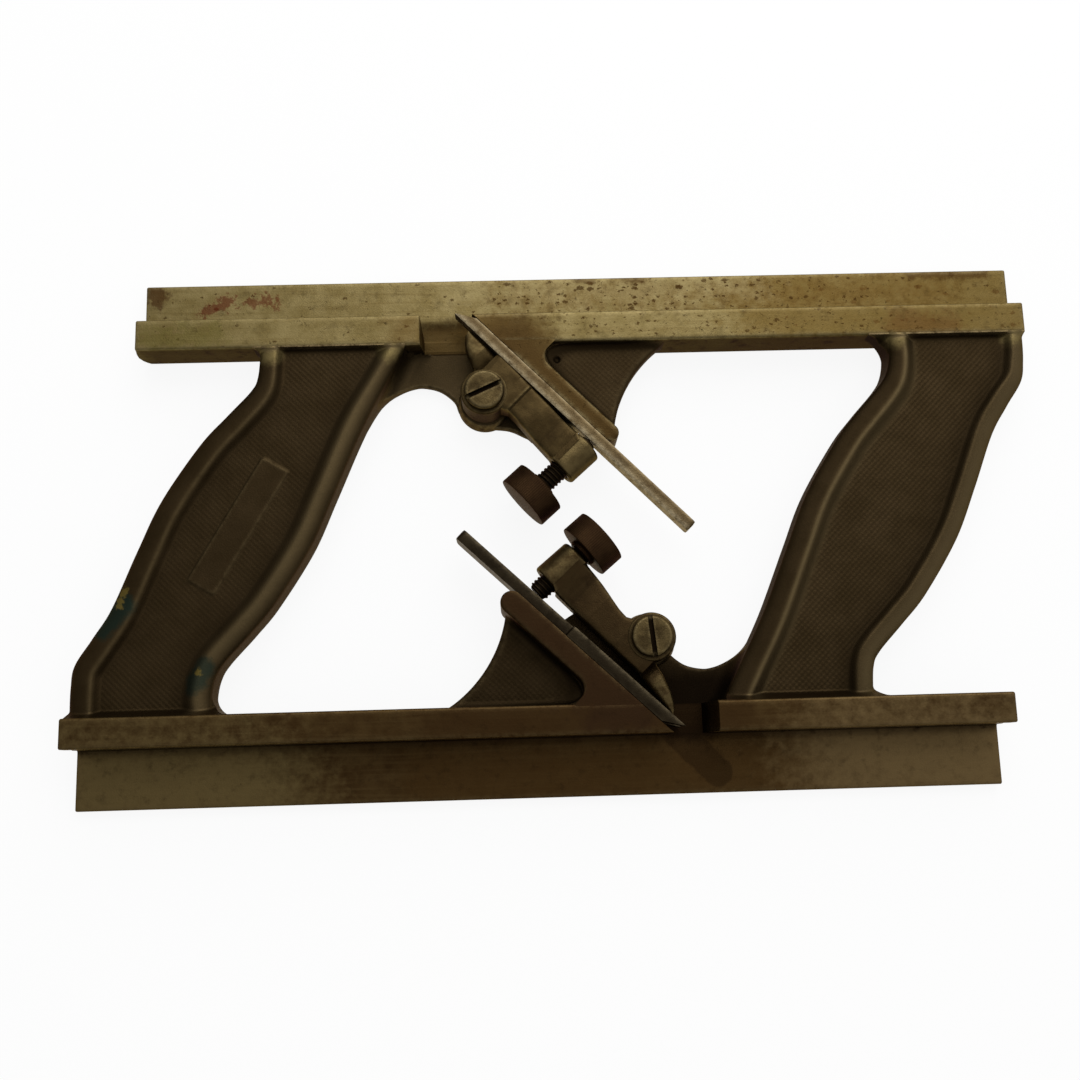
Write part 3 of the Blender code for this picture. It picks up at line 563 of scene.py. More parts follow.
castBrown = wornMetal(
    "brown casting", dark=(44, 34, 19), light=(52, 41, 25), dirtAndShade=(20, 13, 6), bare=(106, 91, 63),
    rough=0.46, patches=0.1, pits=0.3, rubAndGlint=0.6, bump=0.35, blotch=90.0,
    stains=[
        *[((112, 98, 62), top, top, 5.0, 1.0, 1.0, 0.9, 420.0) for top in rimTops],
        (teal, (-132, -28, 12), (-126, -21, 12), 4.5, 0.8, 1.0, 0.5, 320.0),
        (teal, (-106, -45, 12), (-103, -39, 12), 4.0, 0.75, 1.0, 0.5, 320.0),
        (yellow, (-128, -21, 13), (-126.5, -17, 13), 2.6, 0.8, 2.6, 0.5, 520.0, 0.25),
        (yellow, (-104.6, -41, 13), (-104.6, -41, 13), 2.0, 0.8, 2.6, 0.5, 520.0, 0.25),
    ],
)
leverMetal = wornMetal(
    "worn lever", dark=(50, 39, 21), light=(68, 55, 32), dirtAndShade=(24, 16, 8), bare=(110, 95, 62),
    rough=0.38, patches=0.35, rubAndGlint=0.55, bump=0.3, pits=0.4,
    stains=[((42, 30, 17), (2, -20, 14), (26, -45, 14), 16, 0.6)],
)
knobMetal = wornMetal(
    "dark knob", dark=(40, 26, 15), light=(52, 36, 21), dirtAndShade=(20, 12, 6), bare=(68, 51, 31),
    rough=0.42, patches=0.3, rubAndGlint=0.4, bump=0.25,
)
threadMetal = wornMetal(
    "dark thread", dark=(24, 18, 11), light=(34, 26, 16), dirtAndShade=(12, 8, 4), bare=(64, 52, 34),
    rough=0.4, patches=0.3, rubAndGlint=0.5, bump=0.2,
)
screwMetal = wornMetal(
    "screw heads", dark=(50, 40, 23), light=(82, 69, 43), dirtAndShade=(20, 13, 6), bare=(122, 107, 74),
    rough=0.34, patches=0.4, rubAndGlint=0.45, bump=0.4, pits=0.5, blotch=240.0,
)
darkCutter = wornMetal(
    "dark cutter steel", dark=(30, 24, 16), light=(43, 36, 25), dirtAndShade=(18, 12, 6), bare=(92, 82, 63),
    rough=0.36, patches=0.4, rubAndGlint=0.5, bump=0.25, pits=0.45,
)
paleCutter = wornMetal(
    "pale cutter steel", dark=(74, 60, 39), light=(98, 83, 57), dirtAndShade=(36, 26, 14), bare=(168, 154, 124),
    rough=0.36, patches=0.45, rubAndGlint=0.8, bump=0.25, pits=0.5,
)
print("finishes made")

# Rails: one closed section carried along x. In the throat everything above the fence's top drops to it,
# with the bed's slanted wall on one side and the block's upright wall on the other.
rail = {
    "step": 3.0, "endRound": 0.5, "fenceTop": 3.5, "topCorner": 2, "lipCorner": 3,
    "chamfer": 0.25, "cell": 0.8,
    # the free end is drawn in by (height, distance), fading over bulgeWide across and bulgeLong along
    "bulge": [(0, 2.4), (0.5, 1.5), (1.2, 0.7), (2.2, 0.0), (3.5, -0.6), (6.0, -1.1), (9.0, -0.8),
              (12.0, -0.2), (13.8, 0)],
    "bulgeWide": 5.0, "bulgeLong": 9.0,
}
tongueRail = {
    "from": -141.35, "to": 125.35, "freeEnd": 125.35, "block": 41.4, "blockDraft": 2.4, "footCorner": 8,
    "wall": -61.65,
    "section": [(-78.8, 0, 0.6), (-53.1, 0, 1.0), (-53.1, 19.375, 0.8), (-61.65, 19.375, 0.6),
                (-61.65, 13.819, 0.55), (-56.65, 13.819, 0.4), (-56.65, 9.056, 0.4), (-61.65, 9.056, 0.55),
                (-61.65, 3.5, 0.8), (-78.8, 3.5, 0.6)],
}
grooveRail = {
    "from": -125.35, "to": 141.35, "freeEnd": -125.35, "block": -41.0, "blockDraft": 0.8, "footCorner": 6,
    "wall": 58.6,
    "section": [(78.8, 0, 0.6), (54.9, 0, 1.0), (54.9, 13.819, 0.8), (64.1, 13.819, 0.6),
                (64.1, 9.056, 0.55), (58.6, 9.056, 0.4), (58.6, 3.5, 0.8), (78.8, 3.5, 0.6)],
}


def railPiece(name, spec, end, finish):
    loop, run = roundedLoop(spec["section"], rail["cell"])
    y, z = loop[:, 0], loop[:, 1]
    side, top, low, edge = end["side"], end["face"], rail["fenceTop"], end["railEdge"]
    outward = outwardOf(loop)

    # the section in the throat: the top face squeezed to the wall, the lip gathered at its foot
    lowY, lowZ = y.copy(), np.minimum(z, low)
    onTop = run == rail["topCorner"] + 0.5
    lowY[onTop] = edge + (y[onTop] - edge) * (spec["wall"] - edge) / (end["sole"] - edge)
    lip = (run >= rail["lipCorner"]) & (run < spec["footCorner"])
    lowY[lip] = spec["wall"]
    lowZ[lip] = low

    def bedLine(v):
        rise = np.abs(np.clip(side * (v - end["sole"]), 0, None))
        return end["mouth"][0] - side * rise / math.tan(math.radians(end["bed"]))

    def ring(x, ys, zs):
        return pointsOf(x, ys, zs)

    # rings at a rounded end: the section drawn in by a quarter-round
    def endRings(x, direction):
        r = rail["endRound"]
        rings = []
        for a in np.linspace(0, np.pi / 2, 5):
            drawn = loop - outward * r * (1 - math.sin(a))
            rings.append(ring(x + direction * r * (1 - math.cos(a)), drawn[:, 0], drawn[:, 1]))
        return rings

    chamfer = rail["chamfer"]
    eased = np.minimum(z, top - chamfer)
    block, foot = spec["block"], spec["block"] - side * spec["blockDraft"]
    throat = [ring(bedLine(y) - side * chamfer, y, z), ring(bedLine(y), y, eased),
              ring(bedLine(lowY), lowY, lowZ), ring(foot, lowY, lowZ),
              ring(block, y, eased), ring(block + side * chamfer, y, z)]
    if side < 0:
        throat = throat[::-1]
    deep = end["mouth"][0] - side * (abs(spec["wall"] - edge) + abs(end["sole"] - edge))
    first, last = min(block, deep) - 2.0, max(block, deep) + 2.0
    leftX = np.linspace(spec["from"] + 1.5, first, int((first - spec["from"]) / rail["step"]))
    rightX = np.linspace(last, spec["to"] - 1.5, int((spec["to"] - last) / rail["step"]))
    rings = np.array(endRings(spec["from"], 1) + [ring(x, y, z) for x in leftX] + throat
                     + [ring(x, y, z) for x in rightX] + endRings(spec["to"], -1)[::-1])
    points = rings.reshape(-1, 3)

    # the free end bulges on the side of the handles and is rounded away at the back
    nearEnd = np.clip(1 - np.abs(points[:, 0] - spec["freeEnd"]) / rail["bulgeLong"], 0, 1)
    drawn = np.interp(points[:, 2], *np.array(rail["bulge"]).T)
    drawn = drawn * smoothStep(1 - np.abs(points[:, 1] - edge) / rail["bulgeWide"])
    points[:, 0] -= side * drawn * nearEnd
    x, y, z = points.T

    # rub and painted glints along the outer corners and the ends; painted shade and dirt in the inner corner
    # over the fence, and on the inner side, which is dark with oxide and painted shade
    outer = [spec["section"][i] for i in (0, 2, 3, -1)]
    away = np.min([np.hypot(y - c[0], z - c[1]) for c in outer], axis=0)
    rubAndGlint = np.maximum(bell(away, 0.9), bell(np.minimum(x - spec["from"], spec["to"] - x), 0.9) * 0.8)
    innerSide = smoothStep((side * (y - edge) + 0.7) / 0.6) * smoothStep((top - 0.3 - z) / 0.8)
    shadeAndDirt = np.maximum(bell(np.hypot(y - end["sole"], z - low), 1.6), innerSide)
    addPiece(name, points, ringFaces(*rings.shape[:2]), finish, {"rubAndGlint": rubAndGlint, "shadeAndDirt": shadeAndDirt})


railPiece("tongue_rail", tongueRail, tongueEnd, brownRail)
railPiece("groove_rail", grooveRail, grooveEnd, paleRail)
print("rails made")

# Handles: sections across the handle at even steps from one rail to the other. outer and inner are the
# edges, as (share of the way, distance in from the rail's end). Height comes from the distance to the edges:
# a rounded edge, a rim, a fall to the panel, and the crossed check on the panel. By the rails the surface
# climbs a leaning wall, blended in, and by the upper rail the rims are slimmer.
handle = {
    "outer": [(0, 0.1), (0.08, 0.1), (0.14, 1.0), (0.21, 5.7), (0.29, 11.0), (0.44, 17.7), (0.58, 24.5),
              (0.73, 35.1), (0.81, 42.8), (0.88, 49.8), (0.92, 51.9), (1, 52.7)],
    "inner": [(0, 40.4), (0.05, 40.0), (0.1, 41.1), (0.14, 43.7), (0.215, 51.0), (0.29, 57.6), (0.44, 67.7),
              (0.58, 74.3), (0.73, 81.1), (0.81, 85.2), (0.9, 90.4), (1, 95.9)],
    "span": 108.0, "back": 0.4, "front": 13.52, "edgeDrop": 2.7, "flareFall": 0.9, "panelDepth": 2.3,
    "endRim": 0.7, "endFall": 1.5, "wallLean": 3.0, "wallBlend": 1.8, "slimShare": 0.25, "slimReach": 26.0,
    "unshadedReach": 7.0, "litReach": 30.0, "shiftShare": 0.22, "wave": 0.07, "checkPitch": 1.27,
    "checkDepth": 0.065, "reach": 44, "stations": 396, "rimCells": 24, "panelCells": 104, "rimSpan": 8.5,
    "backStep": 7,
}
# Of a pair, the first is for the outer rim and the second for the inner: dim is near 1 for the rim in shade,
# crest how far in it is highest, fall the width of its slope to the panel, shadow the painted shadow beside
# it.
# shine is the place, width and strength of the painted highlight on the bright rim. line and slope are
# painted highlights on the crest and the slope of the rim in shade, and shade is painted shade on its edge.
leftHandle = {
    "railEnd": -141.35, "foot": -53.1, "side": 1, "footWall": 16.8, "topWall": 13.74, "footFlare": 5.4,
    "topFlare": 2.0, "shift": 0.0, "dim": (1.0, 0.1), "crest": (6.2, 4.2), "fall": (2.6, 4.4),
    "shadow": (0.25, 0.55), "shine": (3.9, 2.6, 0.46), "line": 0.16, "slope": 0.0, "shade": 0.12,
    "pad": {"centre": (-94.5, 1.6), "half": (21.0, 4.6), "angle": 59.5, "rise": 0.4,
            "round": 1.2, "slope": 0.7},
}
rightHandle = {
    "railEnd": 140.15, "foot": 54.9, "side": -1, "footWall": 13.74, "topWall": 16.8, "footFlare": 6.0,
    "topFlare": 4.0, "shift": -1.15, "dim": (0.1, 1.0), "crest": (5.0, 5.8), "fall": (2.4, 3.6),
    "shadow": (0.8, 0.0), "shine": (1.8, 3.0, 0.5), "line": 0.5, "slope": 0.3, "shade": 0.4, "pad": None,
}


# a handle edge: (share, inset) as arrays from the curve through its points
def handleEdge(points):
    return throughPoints(points, 1600).T


# inner edge of a handle in x, at given heights y
def innerEdgeX(spec, y):
    share = (y - spec["foot"]) * spec["side"] / handle["span"]
    return spec["railEnd"] + spec["side"] * np.interp(share, *handleEdge(handle["inner"]))


# distance of each point of a row to an edge, looked for among the edge's points up to reach rows away
def awayFrom(x, y, edgeX, edgeY, reach):
    row = np.arange(len(edgeX))
    rows = [np.clip(row + k, 0, len(edgeX) - 1) for k in range(-reach, reach + 1)]
    return np.min([np.hypot(x - edgeX[r][:, None], y - edgeY[r][:, None]) for r in rows], axis=0)


# signed distance outside a rectangle with rounded corners, turned about its centre
def outsidePad(pad, x, y):
    turn = math.radians(pad["angle"])
    px, py = x - pad["centre"][0], y - pad["centre"][1]
    along = np.abs(px * math.cos(turn) + py * math.sin(turn)) - pad["half"][0]
    sideways = np.abs(-px * math.sin(turn) + py * math.cos(turn)) - pad["half"][1]
    return np.maximum(-smoothMin(-along, -sideways, pad["round"]), -5)


def handlePiece(name, spec):
    span, side, front, pad = handle["span"], spec["side"], handle["front"], spec["pad"]
    share = np.concatenate([[-0.03, -0.012], np.linspace(0, 1, handle["stations"]), [1.012, 1.03]])
    dFoot = np.clip(share, 0, 1) * span
    dTop = span - dFoot
    outBase = np.interp(share, *handleEdge(handle["outer"]))
    inBase = np.interp(share, *handleEdge(handle["inner"]))
    outBase = outBase + spec["shift"] * (1 - smoothStep(share / handle["shiftShare"]))
    outEdge = outBase - fillet(dTop, spec["topFlare"])
    inEdge = inBase + fillet(dFoot, spec["footFlare"])
    rowY = spec["foot"] + side * share * span
    fromUpper = np.abs(rowY - grooveEnd["railEdge"])[:, None]
    slim = 1 - handle["slimShare"] * smoothStep(1 - fromUpper / handle["slimReach"])
    width = (inEdge - outEdge)[:, None]
    rim = handle["rimSpan"] * np.linspace(0, 1, handle["rimCells"])[None] ** 1.5 / width
    middle = np.linspace(0, 1, handle["panelCells"] + 2)[None, 1:-1] * (1 - 2 * rim[:, -1:]) + rim[:, -1:]
    across = np.concatenate([rim, middle, 1 - rim[:, ::-1]], axis=1)

    # heights of one face over the middle plane of the handle, at the given shares across
    def faceHeight(part, near):
        y = spec["foot"] + side * (share * span)[:, None]
        inset = outEdge[:, None] + part * width
        x = spec["railEnd"] + side * inset
        dOut = awayFrom(x, y, spec["railEnd"] + side * outBase, rowY, handle["reach"])
        dOut = dOut * np.sign(inset - outBase[:, None])
        dIn = awayFrom(x, y, spec["railEnd"] + side * inBase, rowY, handle["reach"])
        dIn = dIn * np.sign(inBase[:, None] - inset)
        toEdge = np.minimum(dOut, dIn)
        outer = dOut < dIn
        crestOut, crestIn = (c * slim for c in spec["crest"])
        fallOut, fallIn = spec["fall"]
        crest = np.where(outer, crestOut, crestIn)
        bend = fillet(np.maximum(toEdge, 0), crest) * handle["edgeDrop"] / crest
        bend = bend + handle["flareFall"] * np.maximum(-toEdge, 0)  # the flares at the rails fall on outwards
        inPanel = np.minimum(dOut - crestOut - fallOut, dIn - crestIn - fallIn)
        fall = smoothStep((dOut - crestOut) / fallOut) * smoothStep((dIn - crestIn) / fallIn)
        ends = (smoothMin(dFoot, dTop, 1.0)[:, None] + handle["endRim"]) / handle["endFall"]
        fall = fall * smoothStep(ends)
        height = -bend - handle["panelDepth"] * fall
        height += handle["wave"] * castWave(x, y) * (1 - 0.5 * fall)

        # painted light and shade on the rims: a painted highlight on the bright rim, painted highlights and a
        # glint on the crest and slope of the rim in shade, painted shadow at the panel's border and painted
        # shade on the edge of the rim in shade, none of it close to the upper rail
        dim, shadow = (np.where(outer, *spec[k]) for k in ("dim", "shadow"))
        at, wide, bright = spec["shine"]
        paintedLight = bright * (1 - dim) * bell(toEdge - at, wide)
        paintedLight = np.maximum(paintedLight, spec["line"] * dim * bell(toEdge - crest, 0.7))
        paintedLight = np.maximum(paintedLight, spec["slope"] * dim * bell(toEdge - crest - 2.0, 1.6))
        rubAndGlint = 0.2 * dim * bell(toEdge - crest, 0.6)
        shadeAndDirt = shadow * np.exp(-np.maximum(inPanel + 0.6, 0) / 3.5) * fall
        shadeAndDirt = np.maximum(shadeAndDirt, spec["shade"] * smoothStep((crest - 0.6 - toEdge) / 1.6) * dim)
        shadeAndDirt = shadeAndDirt * smoothStep(fromUpper / handle["unshadedReach"])
        if near:
            # the rail's side leans out into the handle, so that rims run up to it in small cusps
            lean = handle["wallLean"]
            wall = np.maximum(spec["footWall"] - lean * dFoot, spec["topWall"] - lean * dTop)[:, None]
            lifted = -smoothMin(-height, -(wall - front), handle["wallBlend"])
            limit = np.where(share > 0.5, spec["topWall"], spec["footWall"])[:, None] - front
            height = np.minimum(lifted, limit)
            lit = smoothStep((wall - front + 6.0) / 5.0) * smoothStep(height + 1.2)
            rubAndGlint = np.maximum(rubAndGlint, 1.6 * lit * (fromUpper < handle["litReach"]))
            plain = smoothStep(inPanel + 0.4) * smoothStep(2 * (ends - 1))
            if pad:
                outside = outsidePad(pad, x, y)
                height = height + pad["rise"] * smoothStep(0.5 - outside / pad["slope"])
                plain = plain * (1 - smoothStep(0.9 - outside / pad["slope"]))
                rubAndGlint = np.maximum(rubAndGlint, 0.35 * bell(outside + 0.3, 0.5))
            check = crossCheck(x, y, handle["checkPitch"])
            height = height + handle["checkDepth"] * check * plain
            shadeAndDirt = np.maximum(shadeAndDirt, 0.1 * plain * smoothStep(-check))
        z = front + height if near else handle["back"] - height
        return pointsOf(x, y, z), {"rubAndGlint": rubAndGlint, "shadeAndDirt": shadeAndDirt, "paintedLight": paintedLight}

    # the far face has fewer points; walls join the two on either side
    cells = across.shape[1]
    rims = np.arange(0, handle["rimCells"], 3)
    keep = [np.arange(0, cells, handle["backStep"]), rims, cells - 1 - rims, [cells - 1]]
    keep = np.unique(np.concatenate(keep))
    near, nearMarks = faceHeight(across, True)
    far, farMarks = faceHeight(across[:, keep], False)
    far = far[:, ::-1]
    drop = np.linspace(0, 1, 7)[None, 1:-1, None]
    innerWall = near[:, -1:] + (far[:, :1] - near[:, -1:]) * drop
    outerWall = far[:, -1:] + (near[:, :1] - far[:, -1:]) * drop
    rings = np.concatenate([near, innerWall, far, outerWall], axis=1)
    wall = np.ones(innerWall.shape[:2])
    dimOut, dimIn = spec["dim"]
    # painted shade on the side wall by the rim in shade, and a little painted light on both walls
    wallMarks = {"rubAndGlint": (0, 0), "shadeAndDirt": (dimIn, dimOut), "paintedLight": (0.1, 0.1)}
    marks = {k: np.concatenate([nearMarks[k], inner * wall, farMarks[k][:, ::-1], outer * wall], axis=1)
             for k, (inner, outer) in wallMarks.items()}
    addPiece(name, rings, ringFaces(*rings.shape[:2]), castBrown, marks, sharp=60.0)


handlePiece("left_handle", leftHandle)
handlePiece("right_handle", rightHandle)
print("handles made")

# Webs: a plate between rail, ledge and a free edge that is an arc from rail to ledge. Lines run from the arc
# to the corner where ledge and rail meet. The near face has the check, and fillets rise to rail and ledge.
web = {"sweep": 38.5, "back": 4.2, "front": 9.7, "edgeRound": 1.4, "fillet": 2.2, "wave": 0.1, "pitDeep": 0.8,
       "pitRadius": 0.9, "overlap": 2.0, "checkPitch": 1.27, "checkDepth": 0.035, "arcCells": 150,
       "cells": 150}


def webPiece(name, end):
    side, r, bed = end["side"], web["sweep"], math.radians(end["bed"])
    tip = fromBed(end, [-end["ledgeLength"] + end["ledge"] / 2, -0.9 * end["ledge"], 0])[:2]
    foot = np.array([end["webEnd"], end["railEdge"]])
    # the arc's centre lies r from both ends of the free edge, on the open side
    chord = tip - foot
    across = np.array([-chord[1], chord[0]]) / np.linalg.norm(chord)
    centre = (tip + foot) / 2 + across * math.sqrt(r * r - chord @ chord / 4)
    start, stop = (math.atan2(*(p - centre)[::-1]) for p in (foot, tip))
    sweep = (stop - start + math.pi) % (2 * math.pi) - math.pi
    angle = start + sweep * np.linspace(-0.06, 1, web["arcCells"])
    arc = centre + r * pointsOf(np.cos(angle), np.sin(angle))
    corner = fromBed(end, [0, -end["ledge"] + 1.0, 0])[:2]
    corner = corner - side * np.array([math.cos(bed), -math.sin(bed)]) * (
        (abs(end["sole"] - end["railEdge"]) - web["overlap"]) / math.sin(bed))
    v = np.concatenate([[0, 0.004, 0.01, 0.018, 0.03, 0.045], np.linspace(0.06, 1, web["cells"])])
    v = v[None, :, None]
    flat = arc[:, None] * (1 - v) + corner * v
    x, y = flat[..., 0], flat[..., 1]
    dEdge = np.linalg.norm(flat - arc[:, None], axis=-1)
    dRail = np.maximum(side * (y - end["railEdge"]), 0)
    outOfBed = np.array([math.sin(bed), math.cos(bed)]) * side
    bedHeight = (x - end["mouth"][0]) * outOfBed[0] + (y - end["mouth"][1]) * outOfBed[1]
    dLedge = np.maximum(-bedHeight - end["ledge"], 0)
    inside = smoothMin(dRail, dLedge, 2.5 * end["gusset"])
    rise = fillet(np.maximum(inside, 0), web["fillet"])
    plain = smoothStep((inside - 0.8) / 0.8) * smoothStep((dEdge - 1.2) / 0.6)
    check = crossCheck(x, y, web["checkPitch"])
    wave = web["wave"] * castWave(x, y)
    pit = smoothStep(1.4 - np.hypot(x - end["pit"][0], y - end["pit"][1]) / web["pitRadius"])
    top = web["front"] + rise + wave + web["checkDepth"] * check * plain - fillet(dEdge, web["edgeRound"])
    top = top - web["pitDeep"] * pit
    low = web["back"] - np.minimum(rise, 1.5) - wave + fillet(dEdge, web["edgeRound"])
    # rub and painted glints on the free edge and the check's crests; painted shade in the corners by rail and
    # ledge and in the check's grooves, and over the whole web by the end's painted shade; the pit is dark too
    rubAndGlint = np.maximum(0.3 * bell(dEdge - 1.0, 0.9), 0.05 * plain * smoothStep(check))
    shadeAndDirt = np.maximum(0.7 * bell(inside - 1.0, 1.0), 0.1 * plain * smoothStep(-check) + 0.7 * end["shade"])
    slabPiece(name, x, y, top, low, castBrown, {"rubAndGlint": rubAndGlint, "shadeAndDirt": np.maximum(shadeAndDirt, pit)}, sharp=60.0)


webPiece("tongue_web", tongueEnd)
webPiece("groove_web", grooveEnd)
print("webs made")

# Ledges: a bar along the bed, flush with the rail, with rounded edges and a round free end whose rings narrow
# like a half circle. Near the rail the side by the web swings out in a quarter-round and runs into the rail.
ledge = {"below": 0.02, "back": 0.6, "edgeRound": 0.9, "bedRound": 0.2, "endDrop": 0.6, "root": 8.2,
         "cells": 60, "endCells": 16, "cell": 0.8, "rubFrom": 16.0, "rubFade": 4.0}


def ledgePiece(name, end, finish):
    half, r, bed, gusset = end["ledge"] / 2, ledge["edgeRound"], math.radians(end["bed"]), end["gusset"]
    high, low = end["face"] - ledge["below"], ledge["back"]
    # where the side by the web would meet the rail, and where its swing starts
    meet = (abs(end["sole"] - end["railEdge"]) + end["ledge"] * math.cos(bed)) / math.sin(bed)
    swing = meet + gusset / math.tan(bed / 2)
    curve = swing - gusset * np.sin(np.linspace(0, np.pi / 2, 14))
    bar = np.linspace(ledge["root"], end["ledgeLength"] - half, ledge["cells"])
    straight = -np.unique(np.concatenate([bar, curve]))
    nose = np.linspace(0, np.pi / 2, ledge["endCells"])[1:]
    x = np.concatenate([straight, -end["ledgeLength"] + half - half * np.sin(nose)])
    narrow = np.concatenate([np.ones(len(straight)), np.maximum(np.cos(nose), 0.02)])[:, None]
    out = fillet(np.maximum(gusset - swing - x, 0), gusset)
    out = np.where(x > -swing + gusset - 0.01, gusset + 3.0, out)
    out = np.clip(out, 0, np.maximum(-x * math.tan(bed) - end["ledge"] - 0.9, 0))
    corners = [(-half, low, r), (half, low, r), (half, high, ledge["bedRound"]), (-half, high, r)]
    loop, _ = roundedLoop(corners, ledge["cell"])
    y = -half + loop[None, :, 0] * narrow - out[:, None] * (loop[None, :, 0] < 0)
    z = loop[None, :, 1] - ledge["endDrop"] * (1 - narrow) * (loop[None, :, 1] > (low + high) / 2)
    rings = fromBed(end, pointsOf(x[:, None], y, z))
    edge = bell(half - np.abs(loop[:, 0]), 0.8) * (loop[:, 1] > high - 1.5)
    rubAndGlint = edge[None] * smoothStep((-x - ledge["rubFrom"]) / ledge["rubFade"])[:, None]
    addPiece(name, rings, ringFaces(*y.shape), finish, {"rubAndGlint": rubAndGlint})


ledgePiece("tongue_ledge", tongueEnd, brownRail)
ledgePiece("groove_ledge", grooveEnd, paleRail)

# Throat floors: a thin plate ruled between its free arched edge and the foot of the rail and bed. edge is
# given from the arch's crown as (towards the handle, up from the rail). The near face rises in fillets to
# the rail's side and to the handle.
throatFloor = {
    "back": 0.7, "top": 3.3, "rise": 9.3, "handleFillet": 5.0, "railFillet": 2.5, "edgeRound": 0.8,
    "wave": 0.06, "overlap": 2.0, "blockEnd": 12.0, "blockFade": 3.0, "shadeReach": 14.0, "dirtAndShade": 2.6,
    "edge": [(17.4, 17.3), (15.2, 13.5), (13.4, 10.3), (11.1, 6.9), (8.3, 4.3), (5.0, 2.4), (1.8, 1.2),
             (-1.7, 0.8), (-6.8, 2.1), (-11, 5.5), (-12.5, 9.1), (-15.1, 11.9), (-20.3, 14), (-27.5, 15),
             (-32.7, 17.4), (-36.9, 19)],
    "edgeCells": 130, "cells": 44,
}


def floorPiece(name, end, spec):
    side, floor = end["side"], throatFloor
    crown = np.array([end["archX"], end["railEdge"] + side * floor["rise"]])
    behind = fromBed(end, [-end["floorLength"], -floor["overlap"], 0])[:2]
    free = [(crown[0] + side * a, crown[1] + side * b) for a, b in floor["edge"]]
    edge = throughPoints(free + [tuple(behind)], floor["edgeCells"])
    foot = end["sole"] + side * floor["overlap"]
    spine = alongLine([(edge[0, 0], foot), (end["mouth"][0], foot), tuple(behind)], floor["edgeCells"])
    v = np.concatenate([[0, 0.01, 0.025, 0.045], np.linspace(0.07, 1, floor["cells"])])[None, :, None]
    flat = edge[:, None] * (1 - v) + spine[:, None] * v
    x, y = flat[..., 0], flat[..., 1]
    dEdge = np.linalg.norm(flat - edge[:, None], axis=-1)
    dHandle = np.maximum(side * (innerEdgeX(spec, y) - x), 0)
    dRail = np.maximum(side * (y - end["railEdge"]), 0)
    beyondBlock = smoothStep((side * (x - end["mouth"][0]) - floor["blockEnd"]) / floor["blockFade"])
    top = floor["top"] + fillet(dHandle, floor["handleFillet"])
    top = top + fillet(dRail, floor["railFillet"]) * (dRail > 0) * beyondBlock
    top = top + floor["wave"] * castWave(x, y) - fillet(dEdge, floor["edgeRound"])
    low = floor["back"] + fillet(dEdge, floor["edgeRound"])
    # a glint on the free edge, less at the shaded end; painted shade near the rail by the end's shade;
    # painted light over the floor by the painted lift
    marks = {"rubAndGlint": bell(dEdge - 0.5, 0.6) * (1 - end["shade"]),
             "shadeAndDirt": end["shade"] * floor["dirtAndShade"] * smoothStep(1.3 - dRail / floor["shadeReach"]),
             "paintedLight": np.full(x.shape, end["paintedLift"])}
    slabPiece(name, x, y, top, low, castBrown, marks, sharp=60.0)


floorPiece("tongue_throat_floor", tongueEnd, rightHandle)
floorPiece("groove_throat_floor", grooveEnd, leftHandle)
print("ledges and throat floors made")


# the pivot frame lies on the back under the pivot screw
def fromPivot(end, points):
    return points + fromBed(end, [-end["pivotBack"], end["pivotRise"], 0])


# Pivot lobes: a low round boss on the throat floor, bored for the pivot screw
lobe = {"radius": 8.3, "topRadius": 7.3, "bore": 3.0, "low": 0.4, "high": 6.24, "edge": 0.7, "boreEdge": 0.2,
        "skirtRound": 2.0, "count": 96, "cell": 0.8}


def lobePiece(name, end):
    r, b, e, low, high = (lobe[k] for k in ("radius", "bore", "edge", "low", "high"))
    profile, _ = roundedLoop([(b, low, lobe["boreEdge"]), (r, low, e), (r, 0.5 * high, lobe["skirtRound"]),
                              (lobe["topRadius"], high, e), (b, high, lobe["boreEdge"])], lobe["cell"])
    ringPiece(name, profile, lobe["count"], lambda p: fromPivot(end, p), castBrown,
              {"rubAndGlint": bell(profile[:, :1] - r + 0.4, 0.6)})


lobePiece("tongue_pivot_lobe", tongueEnd)
lobePiece("groove_pivot_lobe", grooveEnd)

# Levers: a bored boss on the pivot, an arm back to a bored barrel, and a nose that presses on the cutter.
# The arm and nose are one body whose rings, across the lever, are rounded rectangles with heights and widths
# that follow a few points along it: back is the side away from the cutter, crown and top the upper face.
lever = {
    "bossRadius": 7.0, "bossBore": 3.7, "low": 6.54, "high": 16.34, "bossEdge": 0.7, "bossBoreEdge": 0.2,
    "barrelReach": 31.8, "barrelRadius": 5.4, "barrelBore": 3.475, "barrelLength": 10.6, "barrelTop": 1.2,
    "barrelEdge": 0.8, "barrelBoreEdge": 0.25, "barrelRake": 3.5, "barrelPaintedLift": 1.8,
    "cells": 150, "around": 64, "count": 72, "cell": 0.7, "start": -30.2, "stepHeights": (15.4, 16.1),
    "rockSlope": 0.036, "barrelSide": -28.0, "barrelSlope": 0.5, "leastWide": 0.2,
    "back": [(-30.2, 0.9), (-28.3, 0.9), (-20, 0.2), (-12, -0.7), (-9, -0.8), (-6.5, 0.6), (-4.7, 1.8),
             (-4.5, -4.3), (4.4, -4.3)],
    "crown": [(-30.2, 16.75), (-28.5, 16.2), (-26.8, 15.5), (-24.8, 14.8), (-22.5, 14.6), (-19.5, 15.0),
              (-16.5, 15.4)],
    "top": [(3.5, 16.1), (5.2, 15.6), (6.0, 12.0), (7.4, 12.6), (10, 13.5), (15, 13.3), (20.2, 12.2)],
    "bottom": [(-30.2, 15.1), (-28.3, 15.1), (-28.2, 7.2), (-24.5, 7.44), (3, 7.5), (8, 7.8), (20.2, 8.6)],
}


def barrelMiddle():
    return np.array([-lever["barrelReach"], lever["barrelTop"] - lever["barrelLength"] / 2])


